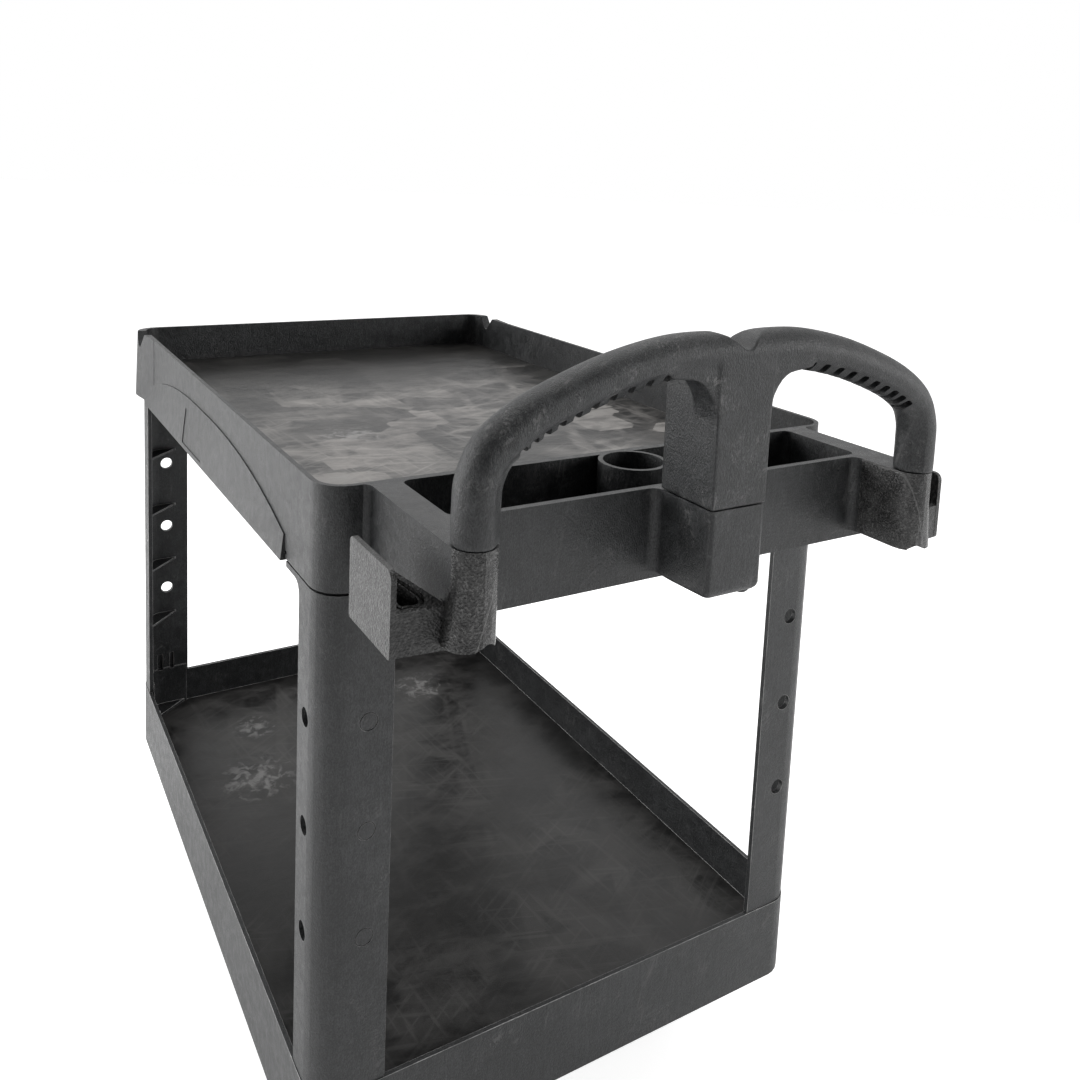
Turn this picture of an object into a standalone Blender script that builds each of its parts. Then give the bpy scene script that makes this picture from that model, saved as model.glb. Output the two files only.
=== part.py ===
"""A two-shelf service trolley: moulded shelves, corner uprights, arched push handle and casters.

The handle end faces -Y, the floor is Z = 0 and the mirror plane is X = 0. Heights of moulded
features are given as depths below the top shelf's rim.
"""

import math

import bmesh
import bpy
from mathutils import Vector

# Driving dimensions, in metres.
LENGTH = 1.150  # handle front to far end
WIDTH = 0.657  # across the rims
RIM_TOP = 0.862  # top shelf's rim above the floor
REACH = 0.197  # console and handle stand this far out from the deck
SHELF_PITCH = 0.640  # rim to rim
CORNER = 0.032  # plan radius of a shelf's corner
WALL = 0.0055
DECK = 0.005  # thickness of a shelf's floor
LIP = 0.059  # rim to floor
SKIRT = 0.105  # rim to the bottom of the outer skirt
BUMPER = 0.013  # the far corners swell this far past the sides at their foot, and less above
CONSOLE_HALF = 0.2820  # half the console's width
CONSOLE_DEEP = 0.1175  # deck end to the console's front wall
CONSOLE_DROP = 0.092  # rim to the console's underside
CENTRE_DROP = 0.085  # to the centre boss's
ARM_DROP = 0.083  # and to the arms'
TRAY_DROP = 0.070  # rim to the caddy tray's floor
CUP_RADIUS = 0.032
CUP_OUT = 0.034  # cup's axis from the deck end
CUP_WALL = 0.005
TRAY_HALF = 0.2515  # half the caddy tray's length
LEG_X = 0.2618  # handle leg's axis from the mirror plane
LEG_RADIUS = 0.0202
POST_HALF = 0.0325  # half the centre post's width
POST_DEEP = 0.0745
END_LEG = 0.078  # an upright's leg along the shelf's end
SIDE_LEG = 0.065  # and along its side
UPRIGHT_WALL = 0.0065
UPRIGHT_INSET = 0.001
WHEEL_RADIUS = 0.0635  # 5 inch wheel
WHEEL_WIDTH = 0.032
CASTER_INSET = 0.096  # caster's axis from the side
CASTER_END = 0.105  # caster's axis from the deck end
TRAIL = 0.038  # swivel caster's axle behind its kingpin
GAP = 0.0003  # between touching pieces

# Places that follow from them.
NEAR = REACH - LENGTH / 2  # deck end at the handle
FAR = LENGTH / 2
FRONT = -LENGTH / 2  # front of the handle and its bosses
RIM_LOW = RIM_TOP - SHELF_PITCH
LEG_Y = FRONT + LEG_RADIUS
PAD = 0.008  # moulded pads above the casters
CASTER_TOP = RIM_LOW - LIP - DECK - PAD - GAP
BOSS_RADIUS = 0.008  # screw bosses under the shelf floors
BOSS_DROP = 0.012
FOOT_THICK = 0.0045  # an upright's triangular end plates
SCREW_X = 0.0406  # corner screw's place from the corner, along one leg and across it
SCREW_Y = 0.0190
SCREW_RADIUS = 0.003
BOLT_RADIUS = 0.004  # the handle's bolts
BOLT_HEAD = 0.0075
BOLT_SINK = 0.012  # counterbore depth
PLATE_HOLE = 0.0043  # radius of the caster bolts' holes
BOLT_DEPTH = 0.0105  # the caster bolts' blind holes
HOLE_IN = 0.042  # round holes' centres from the corner, along an upright's leg
HOLE_RADIUS = 0.00975


def material(name, colour, roughness, metallic=0.0):
    """A plain Principled material."""
    made = bpy.data.materials.new(name)
    made.use_nodes = True
    shader = made.node_tree.nodes["Principled BSDF"]
    shader.inputs["Base Color"].default_value = (*colour, 1.0)
    shader.inputs["Roughness"].default_value = roughness
    shader.inputs["Metallic"].default_value = metallic
    made.diffuse_color = (*colour, 1.0)
    return made


def rounded(corners, steps=4):
    """A closed outline of (x, y, radius) corners, each rounded off, inward or outward."""
    points = []
    for i, (x, y, radius) in enumerate(corners):
        here = Vector((x, y))
        before = (Vector(corners[i - 1][:2]) - here).normalized()
        after = (Vector(corners[(i + 1) % len(corners)][:2]) - here).normalized()
        if radius == 0:
            points.append((x, y))
            continue
        half = before.angle(after) / 2
        middle = here + (before + after).normalized() * (radius / math.sin(half))
        start = here + before * (radius / math.tan(half)) - middle
        end = here + after * (radius / math.tan(half)) - middle
        first = math.atan2(start.y, start.x)
        turn = (math.atan2(end.y, end.x) - first + math.pi) % math.tau - math.pi
        for k in range(steps + 1):
            angle = first + turn * k / steps
            points.append((middle.x + radius * math.cos(angle), middle.y + radius * math.sin(angle)))
    return points


def rectangle(left, right, low, high, radius=0.0, steps=4):
    """A rectangle's outline with equal corner radii."""
    corners = [(left, low), (right, low), (right, high), (left, high)]
    return rounded([(x, y, radius) for x, y in corners], steps)


def circle(x, y, radius, count=24):
    """A regular outline with its first point on the +x side."""
    turns = [math.tau * k / count for k in range(count)]
    return [(x + radius * math.cos(a), y + radius * math.sin(a)) for a in turns]


def mirrored(outline):
    """The outline reflected in x = 0."""
    return [(-x, y) for x, y in reversed(outline)]


def body(name, rings, paint=None):
    """A closed body through rings of equally many points, with flat ends."""
    bm = bmesh.new()
    loops = [[bm.verts.new(p) for p in ring] for ring in rings]
    for ring, following in zip(loops, loops[1:]):
        for i in range(len(ring)):
            j = (i + 1) % len(ring)
            bm.faces.new((ring[i], ring[j], following[j], following[i]))
    bm.faces.new(loops[0][::-1])
    bm.faces.new(loops[-1])
    bmesh.ops.recalc_face_normals(bm, faces=bm.faces)
    bmesh.ops.triangulate(bm, faces=bm.faces)
    mesh = bpy.data.meshes.new(name)
    bm.to_mesh(mesh)
    bm.free()
    made = bpy.data.objects.new(name, mesh)
    bpy.context.scene.collection.objects.link(made)
    if paint:
        mesh.materials.append(paint)
    return made


def prism(outline, low, high, axis="Z", name="shape", paint=None):
    """An outline extruded along an axis. It holds (x, y), (y, z) for X or (x, z) for Y."""
    place = {
        "Z": lambda u, v, w: (u, v, w),
        "X": lambda u, v, w: (w, u, v),
        "Y": lambda u, v, w: (u, w, v),
    }[axis]
    return body(name, [[place(u, v, w) for u, v in outline] for w in (low, high)], paint)


def turned(name, profile, axis="Z", count=32, paint=None):
    """A ring or disc: a closed profile of (radius, along) points turned about an axis."""
    bm = bmesh.new()
    rings = []
    for k in range(count):
        across, up = math.cos(math.tau * k / count), math.sin(math.tau * k / count)
        if axis == "X":
            ring = [(w, r * across, r * up) for r, w in profile]
        else:
            ring = [(r * across, r * up, w) for r, w in profile]
        rings.append([bm.verts.new(point) for point in ring])
    for ring, following in zip(rings, rings[1:] + rings[:1]):
        for i in range(len(profile)):
            j = (i + 1) % len(profile)
            bm.faces.new((ring[i], ring[j], following[j], following[i]))
    bmesh.ops.remove_doubles(bm, verts=bm.verts, dist=1e-6)
    bmesh.ops.recalc_face_normals(bm, faces=bm.faces)
    mesh = bpy.data.meshes.new(name)
    bm.to_mesh(mesh)
    bm.free()
    mesh.shade_smooth()
    mesh.set_sharp_from_angle(angle=math.radians(30))
    made = bpy.data.objects.new(name, mesh)
    bpy.context.scene.collection.objects.link(made)
    if paint:
        mesh.materials.append(paint)
    return made


def combine(base, tools, operation="UNION", solver="EXACT"):
    """Joins the tool shapes to the base, or cuts them from it, and removes them."""
    for tool in tools:
        step = base.modifiers.new(operation.title(), "BOOLEAN")
        step.operation = operation
        step.solver = solver
        step.object = tool
    bpy.context.view_layer.update()
    shape = base.evaluated_get(bpy.context.evaluated_depsgraph_get())
    plain = base.data
    base.data = bpy.data.meshes.new_from_object(shape)
    base.data.name = base.name
    base.modifiers.clear()
    bpy.data.meshes.remove(plain)
    for tool in tools:
        bpy.data.objects.remove(tool)
    return base


def both_sides(outline, low, high, axis="Z"):
    """A prism and its mirror image in X = 0."""
    if axis == "X":
        return [prism(outline, low, high, "X"), prism(outline, -high, -low, "X")]
    return [prism(outline, low, high, axis), prism(mirrored(outline), low, high, axis)]


def corner_places(x, y):
    """Four places (x, y) in from a shelf's corners, turning by a quarter from one to the next."""
    half = WIDTH / 2
    return [
        (-half + x, NEAR + y),
        (half - y, NEAR + x),
        (half - x, FAR - y),
        (-half + y, FAR - x),
    ]


def shelf(name, rim, paint):
    """A tray with an outer skirt, stiffening ribs and a screw boss at each corner underneath."""
    half = WIDTH / 2
    inside = rectangle(-half + WALL, half - WALL, NEAR + WALL, FAR - WALL, CORNER - WALL, 6)
    made = prism(rectangle(-half, half, NEAR, FAR, CORNER, 6), rim - SKIRT, rim, name=name, paint=paint)
    floor_low = rim - LIP - DECK
    tray = prism(inside, rim - LIP, rim + 0.01)
    hollow = prism(inside, rim - SKIRT - 0.01, floor_low)
    combine(made, [tray, hollow], "DIFFERENCE")
    rib_drop, rib_half, cross_ribs = 0.022, 0.002, 4
    ribs = []
    end, sunk = half - WALL / 2, floor_low + 0.002
    for k in range(cross_ribs):
        y = NEAR + (FAR - NEAR) * (k + 1) / (cross_ribs + 1)
        plan = rectangle(-end, end, y - rib_half, y + rib_half)
        ribs.append(prism(plan, floor_low - rib_drop, sunk))
    for x, y in corner_places(SCREW_X, SCREW_Y):
        ribs.append(prism(circle(x, y, BOSS_RADIUS, 16), floor_low - BOSS_DROP, sunk))
    return combine(made, ribs)


def panel_flare(y, low_down):
    """How far a side stands out past the rim line: most at the far end and at the skirt's foot."""
    at_top, at_foot, start = 0.0014, 0.0045, NEAR + 0.11
    along = min(max((y - start) / (FAR - start), 0), 1)
    return at_foot + (BUMPER - at_foot) * along if low_down else at_top


def bolt_places(x=0.0245, y=0.037):
    """The four bolt holes of a caster's plate, from its centre."""
    return [(x, y), (-x, y), (-x, -y), (x, -y)]


def caster_places():
    """Plate centres: the swivel pair at the handle end, then the rigid pair."""
    across = WIDTH / 2 - CASTER_INSET
    return [(x, y) for y in (NEAR + CASTER_END, FAR - CASTER_END) for x in (-across, across)]


def screw_holes(low, high):
    """Clearance holes for the four corner screws."""
    places = corner_places(SCREW_X, SCREW_Y)
    return [prism(circle(x, y, SCREW_RADIUS + GAP, 12), low, high) for x, y in places]


def notches():
    """V notches in both side rims by the far corners, rounded at the far shoulder."""
    middle, half_wide, deep = FAR - 0.056, 0.022, 0.024
    outline = [(middle - half_wide - 0.004, RIM_TOP + 0.004), (middle, RIM_TOP - deep)]
    outline += [(middle + 0.008, RIM_TOP - deep + 0.002), (middle + 0.018, RIM_TOP - 0.008)]
    outline += [(middle + half_wide + 0.004, RIM_TOP + 0.004)]
    inner = WIDTH / 2 - WALL - 0.003
    return both_sides(outline, inner, WIDTH / 2 + BUMPER + 0.004, "X")


def side_panel(side, count=16):
    """The raised lower part of a side wall, under a long arch line, leaning out towards its foot."""
    centre, half_span, apex, foot = (NEAR + FAR) / 2, 0.366, 0.0365, 0.080
    inside = WIDTH / 2 - WALL / 2
    rings = []
    for k in range(count + 1):
        along = -1 + 2 * k / count
        y = centre + half_span * along
        top = RIM_TOP - apex - (foot - apex) * abs(along) ** 2.6
        bottom = RIM_TOP - SKIRT - 0.003
        high, low = WIDTH / 2 + panel_flare(y, False), WIDTH / 2 + panel_flare(y, True)
        section = [(inside, bottom), (low, bottom), (high, top), (inside, top)]
        rings.append([(side * x, y, z) for x, z in section])
    return body("panel", rings)


def label_recess(side, depth=0.001):
    """A shallow blank recess for a label, sunk into a side panel's leaning face."""
    centre, arch, foot, edge = (NEAR + FAR) / 2, 0.037, SKIRT + 0.003, WIDTH / 2
    rings = []
    for y in (centre - 0.0175, centre + 0.0915):
        high, low = panel_flare(y, False), panel_flare(y, True)
        ring = [(edge + 0.02, RIM_TOP - 0.053), (edge + 0.02, RIM_TOP - 0.102)]
        for drop in (0.102, 0.053):
            lean = high + (low - high) * (drop - arch) / (foot - arch)
            ring.append((edge + lean - depth, RIM_TOP - drop))
        rings.append([(side * x, y, z) for x, z in ring])
    return body("label", rings)


def corner_bumper(side):
    """A swelling of the skirt round a far corner, wider at its foot."""
    edge = WIDTH / 2
    rings = []
    for height, proud in ((RIM_TOP - SKIRT - 0.003, BUMPER), (RIM_TOP, 0.7 * BUMPER)):
        plan = rounded([
            (edge - 0.003, FAR - 0.135, 0.0),
            (edge + 0.001, FAR - 0.130, 0.0),
            (edge + proud, FAR - 0.045, 0.030),
            (edge + proud, FAR, CORNER + 0.004),
            (edge - 0.060, FAR, 0.0),
            (edge - 0.060, FAR - 0.002, 0.0),
            (edge - 0.003, FAR - 0.002, CORNER - 0.004),
        ], 6)
        rings.append([(side * x, y, height) for x, y in plan])
    return body("bumper", rings)


def console_outline():
    """Plan of the console with its two arms and the centre boss, blended at every inner corner."""
    wall_y = NEAR - CONSOLE_DEEP
    arm = 0.0404
    arm_inner = CONSOLE_HALF - arm
    round_end = arm / 2 - 0.0001
    right = [
        (POST_HALF, FRONT, 0.005),
        (POST_HALF, wall_y, 0.010),
        (arm_inner, wall_y, 0.010),
        (arm_inner, FRONT + 0.001, round_end),
        (CONSOLE_HALF, FRONT + 0.001, round_end),
        (CONSOLE_HALF, NEAR + 0.001, 0.010),
        (CONSOLE_HALF + 0.016, NEAR + 0.001, 0.0),
        (CONSOLE_HALF + 0.016, NEAR + 0.004, 0.0),
    ]
    left = [(-x, y, r) for x, y, r in reversed(right)]
    return rounded(right + left)


def console_pockets():
    """One long tray that passes in front of the cup, and the cup itself."""
    floor = RIM_TOP - TRAY_DROP
    outline = rectangle(-TRAY_HALF, TRAY_HALF, NEAR - 0.110, NEAR - 0.0035, 0.010)
    tray = prism(outline, floor, RIM_TOP + 0.01)
    tube = prism(circle(0, NEAR - CUP_OUT, CUP_RADIUS + CUP_WALL, 32), floor - 0.01, RIM_TOP + 0.02)
    combine(tray, [tube], "DIFFERENCE")
    cup = prism(circle(0, NEAR - CUP_OUT, CUP_RADIUS, 32), floor, RIM_TOP + 0.01)
    return [tray, cup]


def console_cores():
    """Hollows that open below, beside the tray's ends and under its floor."""
    low, high, skin = RIM_TOP - CONSOLE_DROP - 0.01, RIM_TOP - 0.006, 0.005
    band = rectangle(TRAY_HALF + skin, CONSOLE_HALF - skin, NEAR - 0.110, NEAR - 0.006, 0.003, 2)
    under = rectangle(0.040, TRAY_HALF, NEAR - CONSOLE_DEEP + skin, NEAR - 0.006, 0.003, 2)
    return both_sides(band, low, high) + both_sides(under, low, RIM_TOP - TRAY_DROP - skin)


def hook_box(side):
    """A triangular box that ties a hook to its arm. Its top slopes up from the front to the plate's back."""
    plate_x, arm_x = WIDTH / 2 - 0.002, CONSOLE_HALF - 0.004
    front, bottom = NEAR - 0.165, RIM_TOP - 0.089
    corners = [
        (plate_x, NEAR - 0.121, 0.0180),
        (plate_x, front + 0.0005, 0.0525),
        (arm_x, front - 0.004, 0.0525),
        (arm_x, front + 0.0010, 0.0510),
    ]
    rings = [
        [(side * x, y, bottom) for x, y, _ in corners],
        [(side * x, y, RIM_TOP - drop) for x, y, drop in corners],
    ]
    return body("box", rings)


def side_hooks():
    """A hanging plate beside each arm, tied to it by a box with a pocket in its sloping top."""
    outer, thick = WIDTH / 2, 0.005
    top, bottom = RIM_TOP - 0.0165, RIM_TOP - 0.090
    back, front = NEAR - 0.075, NEAR - 0.165
    plate = rounded([
        (front, bottom, 0.003),
        (back, bottom, 0.003),
        (back, top, 0.006),
        (front, top, 0.008),
    ])
    shapes = both_sides(plate, outer - thick, outer, "X") + [hook_box(1), hook_box(-1)]
    pocket = rounded([
        (outer - 0.009, NEAR - 0.137, 0.003),
        (outer - 0.009, front + 0.006, 0.002),
        (CONSOLE_HALF + 0.011, front + 0.005, 0.002),
    ], 2)
    return shapes, both_sides(pocket, bottom + 0.012, RIM_TOP - 0.010)


def handle_fixings():
    """Where the handle's three bolts stand."""
    return [(-LEG_X, LEG_Y), (0.0, FRONT + POST_DEEP / 2), (LEG_X, LEG_Y)]


def boss_bottom(x):
    """Height of the underside of the boss that holds a handle bolt."""
    return RIM_TOP - (CENTRE_DROP if x == 0 else ARM_DROP)


def top_shelf(paint):
    """The upper tray, moulded in one with the console, handle bosses and side hooks."""
    made = shelf("top_shelf", RIM_TOP, paint)
    hooks, hook_pockets = side_hooks()
    inset = POST_HALF - 0.002
    centre = rectangle(-inset, inset, FRONT + 0.002, FRONT + POST_DEEP + 0.007, 0.005)
    half = CONSOLE_HALF - 0.0005
    trough = rectangle(-half, half, NEAR - CONSOLE_DEEP + 0.0005, NEAR + 0.002, 0.003, 2)
    bosses = [
        prism(console_outline(), RIM_TOP - ARM_DROP, RIM_TOP),
        prism(trough, RIM_TOP - CONSOLE_DROP, RIM_TOP - 0.05),
        prism(centre, RIM_TOP - CENTRE_DROP, RIM_TOP - 0.06),
    ]
    outer = [side_panel(1), side_panel(-1), corner_bumper(1), corner_bumper(-1)]
    combine(made, bosses + hooks + outer, solver="MANIFOLD")
    cuts = console_pockets() + console_cores() + hook_pockets + notches() + [label_recess(1), label_recess(-1)]
    for x, y in handle_fixings():
        bottom = boss_bottom(x)
        cuts.append(prism(circle(x, y, BOLT_RADIUS + GAP, 16), bottom - 0.02, RIM_TOP + 0.01))
        cuts.append(prism(circle(x, y, BOLT_HEAD + 0.001, 20), bottom - 0.02, bottom + BOLT_SINK))
    floor_low = RIM_TOP - LIP - DECK
    cuts += screw_holes(floor_low - 0.02, floor_low + 0.001)
    return combine(made, cuts, "DIFFERENCE", "MANIFOLD")


def bottom_shelf(paint):
    """The lower tray, with pads above the casters, blind holes for their bolts, and screw holes."""
    made = shelf("bottom_shelf", RIM_LOW, paint)
    floor_low = RIM_LOW - LIP - DECK
    low = floor_low - PAD
    pads = []
    for x, y in caster_places():
        plan = rectangle(x - 0.038, x + 0.038, y - 0.051, y + 0.051, 0.008)
        pads.append(prism(plan, low, floor_low + 0.002))
    combine(made, pads, solver="MANIFOLD")
    cuts = screw_holes(floor_low - 0.008, RIM_LOW - LIP + 0.01)
    for x, y in caster_places():
        for u, v in bolt_places():
            cuts.append(prism(circle(x + u, y + v, PLATE_HOLE, 8), low - 0.01, low + BOLT_DEPTH))
    return combine(made, cuts, "DIFFERENCE", "MANIFOLD")


def arch_station(part):
    """Centre and direction of the handle's section at a fraction of its length."""
    stops = [
        (LEG_X, 0.0),
        (LEG_X, 0.030),
        (0.2600, 0.0530),
        (0.2480, 0.0765),
        (0.2200, 0.0965),
        (0.1800, 0.1140),
        (0.1300, 0.1303),
        (0.0750, 0.1408),
        (0.0220, 0.1420),
    ]
    place = part * (len(stops) - 1)
    i = min(int(place), len(stops) - 2)
    nearby = [stops[min(max(j, 0), len(stops) - 1)] for j in range(i - 1, i + 3)]
    before, here, there, after = (Vector(stop) for stop in nearby)
    t = place - i
    bend = (there - before) / 2
    leave = (after - here) / 2
    point = (2 * t**3 - 3 * t**2 + 1) * here + (t**3 - 2 * t**2 + t) * bend
    point += (3 * t**2 - 2 * t**3) * there + (t**3 - t**2) * leave
    slope = (6 * t**2 - 6 * t) * here + (3 * t**2 - 4 * t + 1) * bend + (6 * t - 6 * t**2) * there
    slope += (3 * t**2 - 2 * t) * leave
    along = Vector((slope.x, 0, slope.y)).normalized()
    return Vector((point.x, LEG_Y, RIM_TOP + GAP + point.y)), along


def arch(side, stations=16, around=16):
    """One arm of the handle, swept from its leg to the centre post."""
    rings = []
    for k in range(stations + 1):
        centre, along = arch_station(k / stations)
        up = Vector((0, 1, 0)).cross(along)
        ring = []
        for n in range(around):
            angle = math.tau * n / around
            offset = up * math.sin(angle) + Vector((0, math.cos(angle), 0))
            point = centre + LEG_RADIUS * offset
            ring.append((side * point.x, point.y, max(point.z, RIM_TOP + GAP)))
        rings.append(ring)
    return body("arch", rings)


def grip_slots(side, count=10):
    """Small pockets between ribs along the underside of one arm."""
    cutters = []
    for k in range(count):
        centre, along = arch_station(0.44 + 0.405 * k / (count - 1))
        up = Vector((0, 1, 0)).cross(along)
        rings = []
        for lift in (-LEG_RADIUS - 0.004, -LEG_RADIUS + 0.011):
            ring = []
            for u, v in rectangle(-0.005, 0.005, -0.0135, 0.0065):
                point = centre + up * lift + along * u + Vector((0, v, 0))
                ring.append((side * point.x, point.y, point.z))
            rings.append(ring)
        cutters.append(body("slot", rings))
    return cutters


def handle(paint):
    """Two arches and a centre post in one moulding, standing on the console's three bosses."""
    base = RIM_TOP + GAP
    back = FRONT + POST_DEEP
    side_view = rounded([
        (FRONT, base, 0.0),
        (back, base, 0.0),
        (back, base + 0.112, 0.012),
        (LEG_Y + 0.006, base + 0.149, 0.010),
        (FRONT, base + 0.149, 0.014),
    ])
    made = prism(side_view, -POST_HALF, POST_HALF, "X", "handle", paint)
    blend = rounded([
        (POST_HALF - 0.01, base + 0.065, 0),
        (POST_HALF, base + 0.065, 0),
        (POST_HALF + 0.006, base + 0.122, 0.020),
        (0.075, base + 0.124, 0),
        (0.075, base + 0.138, 0),
        (POST_HALF - 0.01, base + 0.138, 0),
    ], 5)
    webs = both_sides(blend, FRONT + 0.004, FRONT + 0.034, "Y")
    combine(made, webs + [arch(1), arch(-1)])
    cuts = grip_slots(1) + grip_slots(-1)
    valley = [(-0.012, base + 0.165), (0, base + 0.1475), (0.012, base + 0.165)]
    cuts.append(prism(valley, FRONT - 0.01, back + 0.01, "Y"))
    for x, y in handle_fixings():
        cuts.append(prism(circle(x, y, BOLT_RADIUS + GAP, 16), base - 0.01, base + 0.030))
    return combine(made, cuts, "DIFFERENCE")


def l_section(inset, thick, legs, shorter=0.0):
    """Plan of an L whose outer faces stand in by the inset from the shelf's corner."""
    inner = inset + thick
    x, y = legs[0] - shorter, legs[1] - shorter
    return rounded([
        (x, inset, 0.0),
        (x, inner, 0.0),
        (inner, inner, CORNER - inner),
        (inner, y, 0.0),
        (inset, y, 0.0),
        (inset, inset, CORNER - inset),
    ])


def corner_web(inner, reach_x, reach_y):
    """Plan of a triangular web in an L's inside corner."""
    edge = inner - 0.001
    return rounded([(edge, edge, CORNER - edge), (reach_x, edge, 0.0), (edge, reach_y, 0.0)])


def flare(leg, high, steps=5):
    """Side view of the bracket that widens an upright's leg towards the shelf."""
    reach, strip, radius = 0.043, 0.006, 0.014
    centre_x, centre_z = leg + radius, high - strip - radius
    arc = []
    for k in range(steps + 1):
        angle = math.pi * (1 - k / steps / 2)
        arc.append((centre_x + radius * math.cos(angle), centre_z + radius * math.sin(angle)))
    back, tip = leg - 0.01, leg + reach
    return [(back, high), (back, centre_z)] + arc + [(tip, high - strip), (tip, high)]


def upright(name, legs, paint):
    """An L-section post in its corner's own frame, with legs of two widths along +X and +Y."""
    low, high = RIM_LOW + GAP, RIM_TOP - SKIRT - 0.003 - GAP
    inner = UPRIGHT_INSET + UPRIGHT_WALL
    tongue_inset, tongue_thick, tongue_step = WALL + GAP, 0.0045, 0.003
    made = prism(l_section(UPRIGHT_INSET, UPRIGHT_WALL, legs), low, high, name=name, paint=paint)
    foot_low = RIM_LOW - LIP + GAP
    head_high = RIM_TOP - LIP - DECK - BOSS_DROP - GAP
    tongue = l_section(tongue_inset, tongue_thick, legs, tongue_step)
    foot = corner_web(tongue_inset + tongue_thick, legs[0] - 0.006, legs[1] - 0.006)
    shapes = [
        prism(tongue, foot_low, low + 0.012),
        prism(tongue, high - 0.012, RIM_TOP - LIP - DECK - GAP),
        prism(foot, foot_low, foot_low + FOOT_THICK),
        prism(foot, head_high - FOOT_THICK, head_high),
    ]
    for k in range(4):
        z = RIM_TOP - 0.2185 - 0.1008 * k
        shapes.append(prism(corner_web(inner, 0.058, 0.058), z - 0.003, z))
    shapes.append(prism(flare(legs[1], high), UPRIGHT_INSET, inner, "X"))
    shapes.append(prism(flare(legs[0], high), UPRIGHT_INSET, inner, "Y"))
    combine(made, shapes)
    screw_hole = circle(SCREW_X, SCREW_Y, SCREW_RADIUS + GAP, 12)
    cuts = [prism(screw_hole, z - 0.006, z + 0.006) for z in (foot_low, head_high)]
    for k in range(3):
        z = RIM_TOP - 0.2445 - 0.1152 * k
        cuts.append(prism(circle(HOLE_IN, z, HOLE_RADIUS, 24), -0.01, 0.012, "X"))
    slot_low, slot_high = RIM_TOP - 0.630, RIM_TOP - 0.601
    for left, right in ((0.025, 0.034), (0.046, 0.053)):
        for axis in "XY":
            slot = rectangle(left, right, slot_low, slot_high)
            cuts.append(prism(slot, UPRIGHT_INSET + 0.0025, 0.012, axis))
    return combine(made, cuts, "DIFFERENCE", "MANIFOLD")


def stand_at_corner(piece, corner):
    """Turns and moves a piece from its corner's own frame: 0 near left, then anticlockwise."""
    x, y = corner_places(0, 0)[corner]
    piece.location = (x, y, 0)
    piece.rotation_euler = (0, 0, math.pi / 2 * corner)


def uprights(paint):
    """Four posts: opposite corners are the same piece."""
    names = ("upright_near_left", "upright_near_right", "upright_far_right", "upright_far_left")
    for corner, name in enumerate(names):
        legs = (END_LEG, SIDE_LEG) if corner % 2 == 0 else (SIDE_LEG, END_LEG)
        made = upright(name, legs, paint)
        stand_at_corner(made, corner)


def screw(name, head_up, paint):
    """A pan head screw with its head's seat at z = 0."""
    way = 1 if head_up else -1
    head, deep, shank = 0.0052, 0.0034, SCREW_RADIUS
    profile = [(0, way * deep), (head * 0.7, way * deep), (head, way * deep * 0.4), (head, 0)]
    profile += [(shank, 0), (shank, -way * 0.0155), (0, -way * 0.0155)]
    return turned(name, profile, count=12, paint=paint)


def corner_screws(paint):
    """One screw through each upright's foot and one up through its head plate."""
    foot = RIM_LOW - LIP + GAP + FOOT_THICK + GAP
    head = RIM_TOP - LIP - DECK - BOSS_DROP - GAP - FOOT_THICK - GAP
    for corner, place in enumerate(corner_places(SCREW_X, SCREW_Y), start=1):
        for name, seat, head_up in (("foot_screw", foot, True), ("head_screw", head, False)):
            screw(f"{name}_{corner}", head_up, paint).location = (*place, seat)


def handle_bolts(paint):
    """Three hexagon bolts that come up through the bosses into the handle."""
    for number, (x, y) in enumerate(handle_fixings(), start=1):
        seat = boss_bottom(x) + BOLT_SINK - GAP
        name = f"handle_bolt_{number}"
        made = prism(circle(0, 0, BOLT_HEAD - 0.0005, 6), -0.0053, 0, name=name, paint=paint)
        shank = prism(circle(0, 0, BOLT_RADIUS, 16), -0.002, RIM_TOP + 0.028 - seat)
        combine(made, [shank])
        made.location = (x, y, seat)


def wheel(name, place, body_paint, tread_paint, steel):
    """A wheel about its own X axis: rubber tread, moulded core and bearing bush."""
    half, rim, hub, bore, bush = WHEEL_WIDTH / 2, 0.0500, 0.0140, 0.0095, 0.0062
    hub_half = half + 0.001
    axle = bpy.data.objects.new(f"{name}_axis", None)
    axle.location = place
    bpy.context.scene.collection.objects.link(axle)
    outer, edge = WHEEL_RADIUS, 0.005
    profile = [
        (rim, -half),
        (outer - edge, -half),
        (outer, -half + 0.006),
        (outer, half - 0.006),
        (outer - edge, half),
        (rim, half),
    ]
    tread = turned(f"{name}_tread", profile, "X", 32, tread_paint)
    web, flange = 0.004, 0.0435
    ridge = rim - GAP
    side = [
        (ridge, half - 0.001),
        (flange, half - 0.001),
        (flange - 0.002, web),
        (hub + 0.002, web),
        (hub, hub_half),
        (bore, hub_half),
    ]
    core = turned(f"{name}_core", side + [(r, -w) for r, w in reversed(side)], "X", 24, body_paint)
    length = hub_half + 0.0005
    ring = [(bore - GAP, -length), (bore - GAP, length), (bush, length), (bush, -length)]
    liner = turned(f"{name}_bush", ring, "X", 16, steel)
    for piece in (tread, core, liner):
        piece.parent = axle
    return axle


def fork_side(top, reach, axle_z):
    """Side view of a fork leg: broad under the crown, narrowing to a round eye at the axle."""
    eye = 0.013
    arc = []
    for k in range(9):
        angle = math.pi * (1.05 + 0.9 * k / 8)
        arc.append((reach + eye * math.cos(angle), axle_z + eye * math.sin(angle)))
    return [(-0.027, top), (-0.025, top - 0.012)] + arc + [(0.028, top - 0.016), (0.027, top)]


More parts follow.
